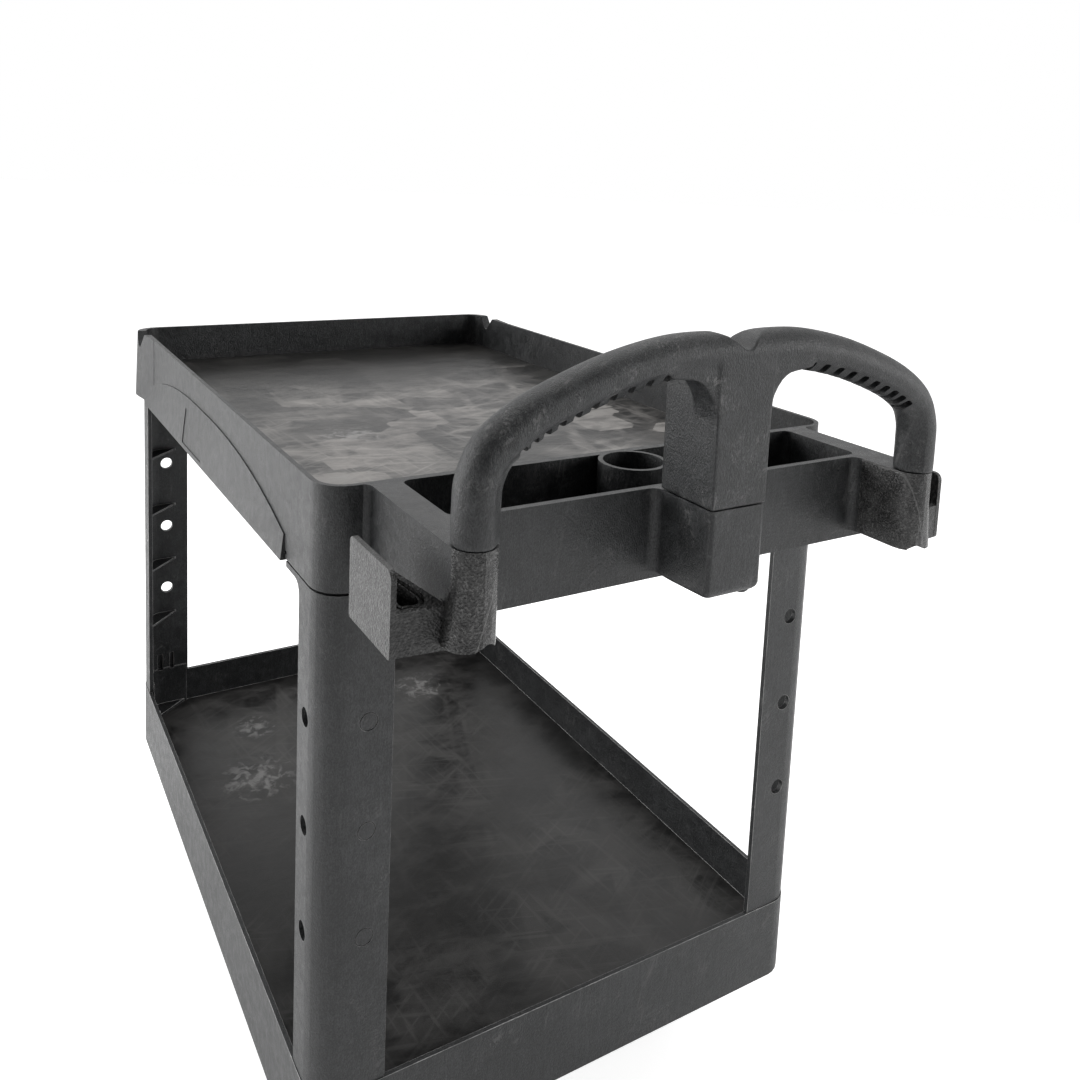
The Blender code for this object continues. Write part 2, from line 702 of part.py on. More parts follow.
def fork(name, top, trail, steel, crown_radius):
    """A pressed fork with its crown's centre above the origin; the axle trails in +Y or under it."""
    inner, thick = 0.0185, 0.0026
    crown = 0.003
    if crown_radius:
        plan = circle(0, 0, crown_radius, 24)
    else:
        plan = rectangle(-0.034, 0.034, -0.047, 0.047, 0.006)
    made = prism(plan, top - crown, top, name=name, paint=steel)
    legs = both_sides(fork_side(top - crown / 2, trail, WHEEL_RADIUS), inner, inner + thick, "X")
    bridge = prism(rectangle(-inner - thick, inner + thick, -0.027, 0.027), top - crown, top)
    combine(made, legs + [bridge])
    eye = prism(circle(trail, WHEEL_RADIUS, 0.0060, 16), -0.05, 0.05, "X")
    return combine(made, [eye], "DIFFERENCE")


def axle_pieces(name, place, steel):
    """An axle bolt with its head on the left, and a nut on the right, both about X."""
    x, y, z = place
    reach = 0.0185 + 0.0026 + GAP
    head, head_thick, shaft, nut_side = 0.0095, 0.005, 0.0056, 0.010
    profile = [
        (0, -reach - head_thick),
        (head, -reach - head_thick),
        (head, -reach),
        (shaft, -reach),
        (shaft, reach + nut_side),
        (0, reach + nut_side),
    ]
    bolt = turned(f"{name}_axle", profile, "X", 16, steel)
    nut = prism(circle(0, 0, head, 6), reach, reach + 0.007, "X", f"{name}_nut", steel)
    combine(nut, [prism(circle(0, 0, shaft + GAP, 16), 0, 0.05, "X")], "DIFFERENCE")
    for piece in (bolt, nut):
        piece.location = (x, y, z)
    return [bolt, nut]


def caster_holes(top):
    """Bolt holes through a caster's plate."""
    return [prism(circle(x, y, PLATE_HOLE, 8), top - 0.006, top + 0.01) for x, y in bolt_places()]


def rigid_caster(name, x, y, paints):
    """A caster whose plate and fork are one pressing."""
    body_paint, tread_paint, steel = paints
    made = fork(f"{name}_fork", CASTER_TOP, 0.0, steel, 0)
    combine(made, caster_holes(CASTER_TOP), "DIFFERENCE")
    made.location = (x, y, 0)
    axle_pieces(name, (x, y, WHEEL_RADIUS), steel)
    wheel(f"{name}_wheel", (x, y, WHEEL_RADIUS), body_paint, tread_paint, steel)


def swivel_caster(name, x, y, paints):
    """A caster that swivels about its kingpin, with its axle trailing towards the far end."""
    body_paint, tread_paint, steel = paints
    plate_low, crown = CASTER_TOP - 0.003, CASTER_TOP - 0.0150
    pivot = bpy.data.objects.new(f"{name}_pivot", None)
    pivot.location = (x, y, 0)
    bpy.context.scene.collection.objects.link(pivot)
    outline = rectangle(-0.034, 0.034, -0.047, 0.047, 0.006)
    plate = prism(outline, plate_low, CASTER_TOP, name=f"{name}_plate", paint=steel)
    pin_hole = prism(circle(0, 0, 0.0066, 20), plate_low - 0.01, CASTER_TOP + 0.01)
    combine(plate, caster_holes(CASTER_TOP) + [pin_hole], "DIFFERENCE")
    plate.location = (x, y, 0)
    head, pin = 0.0105, 0.0063
    profile = [
        (0, CASTER_TOP - 0.0005),
        (pin, CASTER_TOP - 0.0005),
        (pin, crown - 0.003 - GAP),
        (head, crown - 0.003 - GAP),
        (head * 0.8, crown - 0.0058),
        (0, crown - 0.0058),
    ]
    kingpin = turned(f"{name}_kingpin", profile, "Z", 20, steel)
    kingpin.location = (x, y, 0)
    low, high = crown + GAP, plate_low - GAP
    bore, shoulder, outer, edge = 0.0069, 0.0260, 0.0285, 0.003
    race_profile = [
        (bore, low),
        (shoulder, low),
        (outer, low + edge),
        (outer, high - edge),
        (shoulder, high),
        (bore, high),
    ]
    race = turned(f"{name}_race", race_profile, "Z", 24, steel)
    made = fork(f"{name}_fork", crown, TRAIL, steel, 0.029)
    combine(made, [prism(circle(0, 0, bore, 20), crown - 0.01, crown + 0.01)], "DIFFERENCE")
    pieces = [race, made] + axle_pieces(name, (0, TRAIL, WHEEL_RADIUS), steel)
    pieces.append(wheel(f"{name}_wheel", (0, TRAIL, WHEEL_RADIUS), body_paint, tread_paint, steel))
    for piece in pieces:
        piece.parent = pivot


def casters(paints):
    """Swivel casters at the handle end and rigid ones at the far end."""
    names = ("swivel_left", "swivel_right", "rigid_left", "rigid_right")
    for name, (x, y) in zip(names, caster_places()):
        make = swivel_caster if name.startswith("swivel") else rigid_caster
        make(name, x, y, paints)


def build():
    """The whole trolley."""
    for old in list(bpy.data.objects):
        bpy.data.objects.remove(old)
    foam = material("black_foam_plastic", (0.035, 0.036, 0.038), 0.55)
    rubber = material("tread_rubber", (0.045, 0.045, 0.047), 0.75)
    core = material("wheel_core", (0.06, 0.06, 0.063), 0.5)
    zinc = material("zinc_steel", (0.62, 0.63, 0.65), 0.35, 1.0)
    top_shelf(foam)
    bottom_shelf(foam)
    handle(foam)
    uprights(foam)
    corner_screws(zinc)
    handle_bolts(zinc)
    casters((core, rubber, zinc))


build()
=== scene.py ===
"""Detailed pieces, materials, light and camera for the two-shelf service trolley."""

import math

import bmesh
import bpy
from mathutils import Euler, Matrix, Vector


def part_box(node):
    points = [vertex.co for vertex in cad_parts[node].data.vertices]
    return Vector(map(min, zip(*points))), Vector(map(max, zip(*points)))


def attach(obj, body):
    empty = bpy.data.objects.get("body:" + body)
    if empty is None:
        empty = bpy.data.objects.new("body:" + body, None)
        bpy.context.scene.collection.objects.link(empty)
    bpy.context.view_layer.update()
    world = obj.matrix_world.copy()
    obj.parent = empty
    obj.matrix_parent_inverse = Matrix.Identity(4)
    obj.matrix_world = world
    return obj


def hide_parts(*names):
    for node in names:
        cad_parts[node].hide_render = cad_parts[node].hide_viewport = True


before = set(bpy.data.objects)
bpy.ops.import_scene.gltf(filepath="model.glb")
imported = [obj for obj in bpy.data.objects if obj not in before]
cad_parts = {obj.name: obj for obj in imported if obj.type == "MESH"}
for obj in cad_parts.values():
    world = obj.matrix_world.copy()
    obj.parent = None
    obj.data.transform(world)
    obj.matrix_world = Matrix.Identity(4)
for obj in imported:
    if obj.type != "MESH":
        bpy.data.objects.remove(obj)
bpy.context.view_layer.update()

# Places read from the frame, in metres.
LOWER_LOW, LOWER_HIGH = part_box("bottom_shelf")
HANDLE_LOW, HANDLE_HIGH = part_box("handle")
HALF = LOWER_HIGH.x  # shelf's side from the mirror plane
NEAR = LOWER_LOW.y  # deck end at the handle
FAR = LOWER_HIGH.y
RIM_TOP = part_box("top_shelf")[1].z
RIM_LOW = LOWER_HIGH.z
FRONT = HANDLE_LOW.y  # front of the handle and its bosses
BASE = HANDLE_LOW.z  # handle's seat

# Dimensions of the mouldings.
LIP = 0.059  # rim to floor
CONSOLE_HALF = 0.2820
CENTRE_DROP = 0.085
ARM_DROP = 0.083
ARM_WIDTH = 0.0404
LEG_RADIUS = 0.0202
LEG_X = HANDLE_HIGH.x - LEG_RADIUS
LEG_Y = FRONT + LEG_RADIUS
POST_HALF = 0.0325
POST_DEEP = 0.0745
POST_HIGH = 0.149
GRIP_COUNT = 10
GRIP_START, GRIP_REACH = 0.39111, 0.36  # first grip pocket and their spread, as parts of an arch
HOOK_FRONT = NEAR - 0.165  # front of the hooks and their boxes
HOOK_DROP = 0.0525  # rim to the lower edge of a hook box's sloping top
HOOK_SLOPE, HOOK_LEAN = 0.793, 0.0625  # that top's fall towards the front and towards the arm
POCKET_FLOOR = RIM_TOP - 0.0770
KNOCK_OUT_IN = 0.052  # knock-outs' centres from the corner
KNOCK_OUT_RADIUS = 0.0098
KNOCK_OUT_DROP = 0.2410
KNOCK_OUT_PITCH = 0.1152

# Dimensions of the casters.
WHEEL_RADIUS = 0.0635
WHEEL_HALF = 0.016
RIM_RADIUS = 0.0500
HUB_RADIUS = 0.0140
BORE = 0.0095
BUSH_BORE = 0.0062
FORK_REACH = 0.0214  # outer face of a fork's leg from the wheel's middle
AXLE_RADIUS = 0.0056
HEAD_RADIUS = 0.0095
BOLT_X, BOLT_Y = 0.0245, 0.0370  # bolts from a caster plate's centre
PLATE_THICK = 0.003
GAP = 0.0003

# Camera.
CAMERA_PLACE = (-0.6263, -1.2335, 1.1611)
CAMERA_TURN = (82.78172, -2.31006, -30.09391)
CAMERA_LENS = 33.381
CAMERA_SHIFT = (0.01742, -0.22597)


# Shapes.


def rounded(corners, steps=6):
    """A closed outline of (x, y, radius) corners, each rounded off, inward or outward."""
    points = []
    for i, (x, y, radius) in enumerate(corners):
        here = Vector((x, y))
        before = (Vector(corners[i - 1][:2]) - here).normalized()
        after = (Vector(corners[(i + 1) % len(corners)][:2]) - here).normalized()
        if radius == 0:
            points.append((x, y))
            continue
        half = before.angle(after) / 2
        middle = here + (before + after).normalized() * (radius / math.sin(half))
        start = here + before * (radius / math.tan(half)) - middle
        end = here + after * (radius / math.tan(half)) - middle
        first = math.atan2(start.y, start.x)
        turn = (math.atan2(end.y, end.x) - first + math.pi) % math.tau - math.pi
        for k in range(steps + 1):
            angle = first + turn * k / steps
            points.append((middle.x + radius * math.cos(angle), middle.y + radius * math.sin(angle)))
    return points


def rectangle(left, right, low, high, radius=0.0, steps=6):
    """A rectangle's outline with equal corner radii."""
    corners = [(left, low), (right, low), (right, high), (left, high)]
    return rounded([(x, y, radius) for x, y in corners], steps)


def circle(x, y, radius, count=48):
    """A regular outline with its first point on the +x side."""
    turns = [math.tau * k / count for k in range(count)]
    return [(x + radius * math.cos(a), y + radius * math.sin(a)) for a in turns]


def mirrored(outline):
    """The outline reflected in x = 0."""
    return [(-x, y) for x, y in reversed(outline)]


def new_object(name, bm):
    """An object from a bmesh, which is freed."""
    bmesh.ops.recalc_face_normals(bm, faces=bm.faces)
    mesh = bpy.data.meshes.new(name)
    bm.to_mesh(mesh)
    bm.free()
    made = bpy.data.objects.new(name, mesh)
    bpy.context.scene.collection.objects.link(made)
    return made


def body(name, rings, closed=False):
    """A body through rings of equally many points, with flat ends or joined end to end."""
    bm = bmesh.new()
    loops = [[bm.verts.new(p) for p in ring] for ring in rings]
    following = loops[1:] + loops[:1] if closed else loops[1:]
    for ring, after in zip(loops, following):
        for i in range(len(ring)):
            j = (i + 1) % len(ring)
            bm.faces.new((ring[i], ring[j], after[j], after[i]))
    if not closed:
        bm.faces.new(loops[0][::-1])
        bm.faces.new(loops[-1])
    bmesh.ops.remove_doubles(bm, verts=bm.verts, dist=1e-7)
    return new_object(name, bm)


def prism(outline, low, high, axis="Z", name="shape"):
    """An outline extruded along an axis. It holds (x, y), (y, z) for X or (x, z) for Y."""
    place = {
        "Z": lambda u, v, w: (u, v, w),
        "X": lambda u, v, w: (w, u, v),
        "Y": lambda u, v, w: (u, w, v),
    }[axis]
    return body(name, [[place(u, v, w) for u, v in outline] for w in (low, high)])


def turned(name, profile, axis="Z", count=64):
    """A closed profile of (radius, along) points turned about an axis."""
    rings = []
    for k in range(count):
        across, up = math.cos(math.tau * k / count), math.sin(math.tau * k / count)
        if axis == "X":
            rings.append([(w, r * across, r * up) for r, w in profile])
        else:
            rings.append([(r * across, r * up, w) for r, w in profile])
    return body(name, rings, closed=True)


def both_sides(outline, low, high, axis="Z"):
    """A prism and its mirror image in x = 0."""
    if axis == "X":
        return [prism(outline, low, high, "X"), prism(outline, -high, -low, "X")]
    return [prism(outline, low, high, axis), prism(mirrored(outline), low, high, axis)]


def settle(piece):
    """Applies a piece's modifiers."""
    bpy.context.view_layer.update()
    shape = piece.evaluated_get(bpy.context.evaluated_depsgraph_get())
    plain = piece.data
    piece.data = bpy.data.meshes.new_from_object(shape)
    piece.data.name = piece.name
    piece.modifiers.clear()
    bpy.data.meshes.remove(plain)
    return piece


def combine(base, tools, operation="UNION", solver="EXACT"):
    """Joins the tool shapes to the base, or cuts them from it, and removes them."""
    for tool in tools:
        step = base.modifiers.new(operation.title(), "BOOLEAN")
        step.operation = operation
        step.solver = solver
        step.object = tool
    settle(base)
    for tool in tools:
        bpy.data.objects.remove(tool)
    return base


def cut(base, tools, solver="EXACT"):
    """Cuts the tool shapes from the base."""
    return combine(base, tools, "DIFFERENCE", solver)


def join_flat_faces(mesh):
    """Merges a mesh's coplanar faces, so that only real edges are left for rounding."""
    bm = bmesh.new()
    bm.from_mesh(mesh)
    bmesh.ops.remove_doubles(bm, verts=bm.verts, dist=2e-5)
    bmesh.ops.dissolve_limit(
        bm, angle_limit=math.radians(1.0), verts=bm.verts, edges=bm.edges, delimit={"NORMAL"}
    )
    bm.to_mesh(mesh)
    bm.free()


def round_edges(piece, width, segments=2, worn=-1, sharpest=32):
    """Rounds the piece's edges, which take the material in slot worn (pale edge wear with a painted
    highlight), and evens its shading.
    """
    piece.data.shade_smooth()
    bevel = piece.modifiers.new("rounding", "BEVEL")
    bevel.width = width
    bevel.segments = segments
    bevel.limit_method = "ANGLE"
    bevel.angle_limit = math.radians(sharpest)
    bevel.miter_outer = "MITER_ARC"
    bevel.material = worn
    shading = piece.modifiers.new("shading", "WEIGHTED_NORMAL")
    shading.weight = 50
    return piece


def copy_of(node, name):
    """A new object with a CAD node's shape, its split vertices welded."""
    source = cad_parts[node].data
    bm = bmesh.new()
    points = [bm.verts.new(v.co) for v in source.vertices]
    for polygon in source.polygons:
        bm.faces.new([points[i] for i in polygon.vertices])
    bmesh.ops.remove_doubles(bm, verts=bm.verts, dist=2e-5)
    return new_object(name, bm)


def paint(piece, materials, tests=()):
    """Gives a piece its materials. A face takes the slot of the last (slot, test) it passes, or 0."""
    piece.data.materials.clear()
    for material in materials:
        piece.data.materials.append(material)
    for polygon in piece.data.polygons:
        polygon.material_index = 0
        for slot, test in tests:
            if test(polygon.center, polygon.normal):
                polygon.material_index = slot
    return piece


def install(piece, rider, slot, *nodes):
    """Makes a piece move with a body, and lets it stand for CAD nodes."""
    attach(piece, rider)
    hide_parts(*nodes)
    return piece


# Materials.


class Finish:
    """A material under construction. A value that is a socket is linked, and any other is set."""

    def __init__(self, name):
        self.material = bpy.data.materials.new(name)
        self.material.use_nodes = True
        self.tree = self.material.node_tree
        self.shader = self.tree.nodes["Principled BSDF"]
        self.place = self.add("TexCoord", out="Object")

    def put(self, node, inputs):
        for key, value in inputs.items():
            if isinstance(value, bpy.types.NodeSocket):
                self.tree.links.new(value, node.inputs[key])
            else:
                node.inputs[key].default_value = value

    def add(self, kind, inputs=None, out=0, **settings):
        node = self.tree.nodes.new("ShaderNode" + kind)
        for key, value in settings.items():
            setattr(node, key, value)
        self.put(node, inputs or {})
        return node.outputs[out]

    def axis(self, index):
        """One coordinate of the surface's place."""
        return self.add("SeparateXYZ", {"Vector": self.place}, out=index)

    def calc(self, operation, first, second=0.0):
        return self.add("Math", {0: first, 1: second}, operation=operation)

    def stretch(self, lengths, turn=(0.0, 0.0, 0.0)):
        """The surface's place, turned and then with its pattern drawn out along each axis."""
        turn = [math.radians(angle) for angle in turn]
        values = {"Vector": self.place, "Scale": lengths, "Rotation": turn}
        return self.add("Mapping", values, vector_type="TEXTURE")

    def noise(self, scale, detail=3.0, distortion=0.0, place=None, roughness=0.5):
        values = {"Vector": place or self.place, "Scale": scale, "Detail": detail}
        values.update({"Distortion": distortion, "Roughness": roughness})
        return self.add("TexNoise", values)

    def fade(self, value, start, end, low=0.0, high=1.0):
        """A smooth step from low at start to high at end."""
        values = {"Value": value, "From Min": start, "From Max": end, "To Min": low, "To Max": high}
        return self.add("MapRange", values, interpolation_type="SMOOTHSTEP")

    def line(self, value, level, width):
        """One where the value crosses a level, falling to nothing a width away."""
        distance = self.calc("ABSOLUTE", self.calc("SUBTRACT", value, level))
        return self.fade(distance, 0.0, width, 1.0, 0.0)

    def mix(self, share, first, second):
        values = {0: share, 6: first, 7: second}
        return self.add("Mix", values, out=2, data_type="RGBA")

    def bump(self, height, distance, below=None):
        values = {"Height": height, "Distance": distance}
        if below:
            values["Normal"] = below
        return self.add("Bump", values)

    def done(self, **values):
        """Sets the shader's inputs, whose names have underscores for spaces."""
        self.put(self.shader, {key.replace("_", " "): value for key, value in values.items()})
        return self.material


def grey(tone, warmth=0.0):
    """A colour of that tone, warmer or cooler."""
    return (tone * (1 + warmth), tone, tone * (1 - warmth), 1.0)


def rubs(f, scale, lengths, turns, low, high):
    """Short straight rub marks in several directions."""
    marks = None
    for turn in turns:
        mark = f.fade(f.noise(scale, 2.0, 0.3, f.stretch(lengths, turn)), low, high)
        marks = f.calc("MAXIMUM", marks, mark) if marks else mark
    return marks


def moulded(
    name, tone=0.010, light=0.042, rough=0.38, grain=0.00032, brush=0.3, haze=0.55, haze_tone=0.13
):
    """Dark structural foam: cloudy tone, fine speckle, faint upright brushing and pale haze."""
    f = Finish(name)
    cloud = f.noise(6.0, 4.0, 0.4)
    mottle = f.noise(70.0, 6.0, 0.6, roughness=0.62)
    speckle = f.noise(900.0, 3.0, 0.3, f.stretch((1, 1, 2.2)), 0.6)
    strokes = f.noise(430.0, 4.0, 0.4, f.stretch((1, 1, 14)))
    share = f.fade(cloud, 0.3, 0.7, 0.0, 0.4)
    share = f.calc("ADD", share, f.fade(mottle, 0.35, 0.70, -0.15, 0.35))
    share = f.calc("ADD", share, f.fade(speckle, 0.35, 0.65, -0.35, 0.45))
    share = f.calc("ADD", share, f.fade(strokes, 0.35, 0.70, -0.35 * brush, 0.65 * brush))
    colour = f.mix(share, grey(tone, -0.08), grey(light, -0.04))
    worn = f.fade(f.noise(15.0, 6.0, 1.0, roughness=0.68), 0.47, 0.70)
    fine = f.fade(f.noise(420.0, 4.0, 1.2, roughness=0.65), 0.50, 0.66)
    turns = ((0, 9, 0), (24, 0, 0), (-38, 30, 0), (0, 62, 15))
    dashes = rubs(f, 170.0, (1, 1, 26), turns, 0.64, 0.70)
    marks = f.calc("MULTIPLY", worn, f.calc("MAXIMUM", fine, dashes))
    colour = f.mix(f.calc("MULTIPLY", marks, haze), colour, grey(haze_tone, 0.01))
    normal = f.bump(speckle, grain * 2)
    normal = f.bump(mottle, 0.0006, normal)
    normal = f.bump(strokes, 0.00035 * brush, normal)
    spread = f.fade(mottle, 0.3, 0.7, rough - 0.08, rough + 0.08)
    spread = f.calc("ADD", spread, f.calc("MULTIPLY", marks, 0.12))
    return f.done(Base_Color=colour, Roughness=spread, Normal=normal)


def painted_highlight_worn_edge(name):
    """Moulded edges, pale as a painted highlight along the rounded rims, and rubbed lighter still in
    stretches.
    """
    f = Finish(name)
    rubbed = f.fade(f.noise(30.0, 5.0, 0.8), 0.36, 0.60, 0.30, 1.0)
    nicks = f.fade(f.noise(260.0, 3.0), 0.50, 0.62, 0.70, 1.0)
    share = f.calc("MULTIPLY", rubbed, nicks)
    # Pale edge colour: partly rubbed wear, partly a painted highlight along the rims.
    colour = f.mix(share, grey(0.130), grey(0.600, 0.01))
    normal = f.bump(f.noise(900.0, 3.0), 0.00010)
    return f.done(Base_Color=colour, Roughness=f.fade(share, 0.0, 1.0, 0.34, 0.46), Normal=normal)


def pebbled(name, tone=0.013, light=0.060, scale=400.0, depth=0.0011, rough=0.34, crease=0.0):
    """Coarse pebbled moulding with glints, as on the hooks, its pale pebble tops partly painted glints,
    and, if asked, a pale line along a crease painted as a highlight.
    """
    f = Finish(name)
    pebbles = f.add(
        "TexVoronoi", {"Vector": f.place, "Scale": scale, "Randomness": 0.95}, feature="SMOOTH_F1"
    )
    lumps = f.noise(scale * 0.7, 5.0, 0.3, roughness=0.65)
    broad = f.noise(40.0, 4.0, 0.5)
    share = f.calc("ADD", f.fade(lumps, 0.40, 0.68, -0.1, 0.9), f.fade(broad, 0.35, 0.7, -0.15, 0.30))
    # A pale line along the boss's crease: a painted highlight where the crease catches the light.
    if crease:
        across = f.calc("ABSOLUTE", f.axis(0))
        lean = f.calc("ADD", across, f.calc("MULTIPLY", f.axis(2), 0.30))
        lean = f.calc("ADD", lean, f.calc("MULTIPLY", f.noise(18.0, 2.0), 0.006))
        share = f.calc("ADD", share, f.line(lean, crease, 0.0011))
    # Pale pebble tops: partly painted glints, a lighter tone standing in for sparkles of light on the
    # pebbles.
    colour = f.mix(share, grey(tone), grey(light, 0.01))
    normal = f.bump(pebbles, depth)
    normal = f.bump(lumps, depth * 0.9, normal)
    spread = f.fade(lumps, 0.3, 0.7, rough + 0.10, rough - 0.08)
    return f.done(Base_Color=colour, Roughness=spread, Normal=normal)


def scuff(f, place, radius, strokes):
    """A rubbed mark round a place on the floor of a tray, ragged and brightest in the middle."""
    away = f.add("VectorMath", {0: f.place, 1: place}, out=1, operation="DISTANCE")
    ragged = f.fade(f.noise(55.0, 5.0, 1.0), 0.35, 0.65, -radius * 0.35, radius * 0.55)
    away = f.calc("ADD", away, ragged)
    near = f.fade(away, 0.0, radius, 1.0, 0.0)
    core = f.fade(away, -radius * 0.2, radius * 0.55, 0.8, 0.0)
    return f.calc("MAXIMUM", f.calc("MULTIPLY", near, strokes), core)


def pad(f, x, y, half_x, half_y):
    """A value that is one on a rounded rectangle's edge, less inside it and more outside."""
    total = None
    for index, centre, half in ((0, x, half_x), (1, y, half_y)):
        offset = f.calc("DIVIDE", f.calc("SUBTRACT", f.axis(index), centre), half)
        away = f.calc("POWER", f.calc("ABSOLUTE", offset), 5.0)
        total = f.calc("ADD", total, away) if total else away
    return total


def floor_wear(f, cloud, blocky, pads):
    """How worn a tray floor is: broad clouds, streaks, square blocks and pad marks."""
    mottle = f.noise(30.0, 6.0, 0.3, f.stretch((2.4, 1, 1), (0, 0, -4)), 0.72)
    cells = f.add(
        "TexVoronoi", {"Vector": f.place, "Scale": 12.0, "Randomness": 0.7}, out=1, distance="CHEBYCHEV"
    )
    blocks = f.add("SeparateColor", {"Color": cells})
    share = f.fade(cloud, 0.36, 0.64, -0.1, 0.45)
    share = f.calc("ADD", share, f.fade(mottle, 0.34, 0.66, -0.40, 0.60))
    share = f.calc("ADD", share, f.fade(blocks, 0.0, 1.0, -blocky, blocky))
    for place in pads:
        share = f.calc("ADD", share, f.fade(pad(f, *place), 0.7, 1.3, 0.40, 0.0))
    return share, mottle


def floor_marks(f, turns):
    """Long broad and fine rub marks, gathered in patches."""
    broad = rubs(f, 26.0, (9, 1, 1), turns, 0.46, 0.66)
    fine = rubs(f, 140.0, (16, 1, 1), ((0, 0, 33), (0, 0, 96), (0, 0, 160)), 0.55, 0.68)
    patches = f.fade(f.noise(5.0, 4.0, 0.5), 0.40, 0.60, 0.2, 1.0)
    marks = f.calc("ADD", f.calc("MULTIPLY", broad, 0.6), f.calc("MULTIPLY", fine, 0.4))
    return f.calc("MULTIPLY", marks, patches)


def tray_floor(name, tones, mark, strength, rough, blocky, spots, pads=(), darkening_span=None, warmth=0.03):
    """A worn tray floor with rubbed spots. Between the two y values, if given, its pale tone and rub
    marks fade away, so that it grows darker towards the far end.
    """
    f = Finish(name)
    cloud = f.noise(3.4, 3.0, 0.8)
    turns = ((0, 0, 14), (0, 0, 71), (0, 0, 128))
    share, mottle = floor_wear(f, cloud, blocky, pads)
    marks = floor_marks(f, turns)
    # Darker towards the far end: the pale tone and the marks fade out between the two y values.
    if darkening_span:
        reach = f.calc("ADD", f.axis(1), f.fade(cloud, 0.3, 0.7, -0.10, 0.10))
        far_darkening = f.fade(reach, darkening_span[0], darkening_span[1], 1.0, 0.06)
        share = f.calc("MULTIPLY", share, far_darkening)
        marks = f.calc("MULTIPLY", marks, far_darkening)
    colour = f.mix(share, grey(tones[0], warmth), grey(tones[1], warmth))
    colour = f.mix(f.calc("MULTIPLY", marks, strength), colour, grey(mark, warmth))
    strokes = rubs(f, 90.0, (6, 1, 1), turns, 0.44, 0.58)
    rubbed = 0.0
    for place, radius in spots:
        rubbed = f.calc("MAXIMUM", scuff(f, place, radius, strokes), rubbed)
    colour = f.mix(f.calc("MULTIPLY", rubbed, 0.6), colour, grey(0.32, warmth * 0.5))
    normal = f.bump(f.noise(700.0, 3.0), 0.00016)
    normal = f.bump(mottle, 0.0020 * blocky, normal)
    spread = f.fade(share, 0.0, 1.0, rough - 0.06, rough + 0.12)
    spread = f.calc("ADD", spread, f.calc("MULTIPLY", marks, 0.14))
    return f.done(Base_Color=colour, Roughness=spread, Normal=normal)


def tread_rubber(name):
    """Dark grey rubber with dust and small chips."""
    f = Finish(name)
    dust = f.fade(f.noise(60.0, 5.0, 0.6), 0.40, 0.72)
    chips = f.fade(f.noise(190.0, 3.0), 0.60, 0.68)
    colour = f.mix(f.calc("MULTIPLY", dust, 0.6), grey(0.040), grey(0.085, 0.05))
    normal = f.bump(f.noise(900.0, 3.0), 0.00010)
    normal = f.bump(chips, -0.00025, normal)
    return f.done(Base_Color=colour, Roughness=f.fade(dust, 0.0, 1.0, 0.62, 0.82), Normal=normal)


def zinc(name):
    """Zinc-plated steel: faint spangle, duller patches and fine scratches."""
    f = Finish(name)
    flakes = f.add("TexVoronoi", {"Vector": f.place, "Scale": 260.0}, out=1)
    flake = f.add("SeparateColor", {"Color": flakes})
    patches = f.noise(55.0, 4.0, 0.5)
    share = f.calc("ADD", f.fade(patches, 0.35, 0.7, 0.0, 0.7), f.fade(flake, 0.0, 1.0, 0.0, 0.2))
    colour = f.mix(share, grey(0.58, -0.02), grey(0.44, 0.03))
    fine = f.noise(600.0, 3.0, 0.0, f.stretch((1, 1, 12)))
    rough = f.calc("ADD", f.fade(patches, 0.3, 0.7, 0.26, 0.40), f.fade(fine, 0.4, 0.7, 0.0, 0.08))
    return f.done(Base_Color=colour, Metallic=1.0, Roughness=rough, Normal=f.bump(fine, 0.00004))


def pale_floor(name):
    """A plain pale studio floor, white where the camera sees it."""
    f = Finish(name)
    colour = f.mix(f.noise(0.8, 2.0), grey(0.88), grey(0.91))
    seen = f.add("LightPath", out=0)
    glow = f.calc("ADD", f.calc("MULTIPLY", seen, 0.45), 0.30)
    return f.done(Base_Color=colour, Roughness=0.8, Emission_Color=grey(1.0), Emission_Strength=glow)


FLOOR_TOP, FLOOR_LOW = RIM_TOP - LIP, RIM_LOW - LIP
FOAM = moulded("foam_body")
FOAM_HANDLE = moulded("foam_handle", 0.010, 0.044, 0.38, 0.00040, 0.2, 0.75, 0.17)
# The edge material paints a pale highlight along the rounded rims, besides their wear.
EDGE = painted_highlight_worn_edge("foam_painted_highlight_worn_edge")
# Pebbled finishes for the hooks and bosses, whose pale pebble tops are partly painted glints.
PEBBLED = pebbled("foam_pebbled", 0.011, 0.062, 520.0, 0.0007)
# The boss finish also paints a highlight line along its crease.
ROUGH = pebbled("foam_rough", 0.010, 0.105, 620.0, 0.00055, 0.22, 0.5035)
TOP_SPOTS = [((-0.162, -0.009, FLOOR_TOP), 0.045), ((-0.235, -0.185, FLOOR_TOP), 0.025)]
TOP_PADS = [(-0.227, -0.149, 0.024, 0.028), (-0.164, -0.149, 0.026, 0.030)]
LOW_SPOTS = [
    ((-0.166, 0.422, FLOOR_LOW), 0.034),
    ((0.156, 0.419, FLOOR_LOW), 0.050),
    ((-0.205, 0.270, FLOOR_LOW), 0.060),
]
# The top floor grows darker towards its far end, between y = 0.05 and 0.36.
TOP_FLOOR = tray_floor(
    "foam_top_floor", (0.008, 0.230), 0.36, 0.7, 0.34, 0.65, TOP_SPOTS, TOP_PADS, (0.05, 0.36), 0.05
)
LOW_FLOOR = tray_floor("foam_lower_floor", (0.009, 0.036), 0.12, 0.5, 0.36, 0.12, LOW_SPOTS)
RUBBER = tread_rubber("rubber_tread")
WHEEL_CORE = moulded("wheel_core_plastic", 0.018, 0.034, 0.40, 0.00010, 0.1, 0.35, 0.07)
ZINC = zinc("zinc_plate")


# Mouldings.


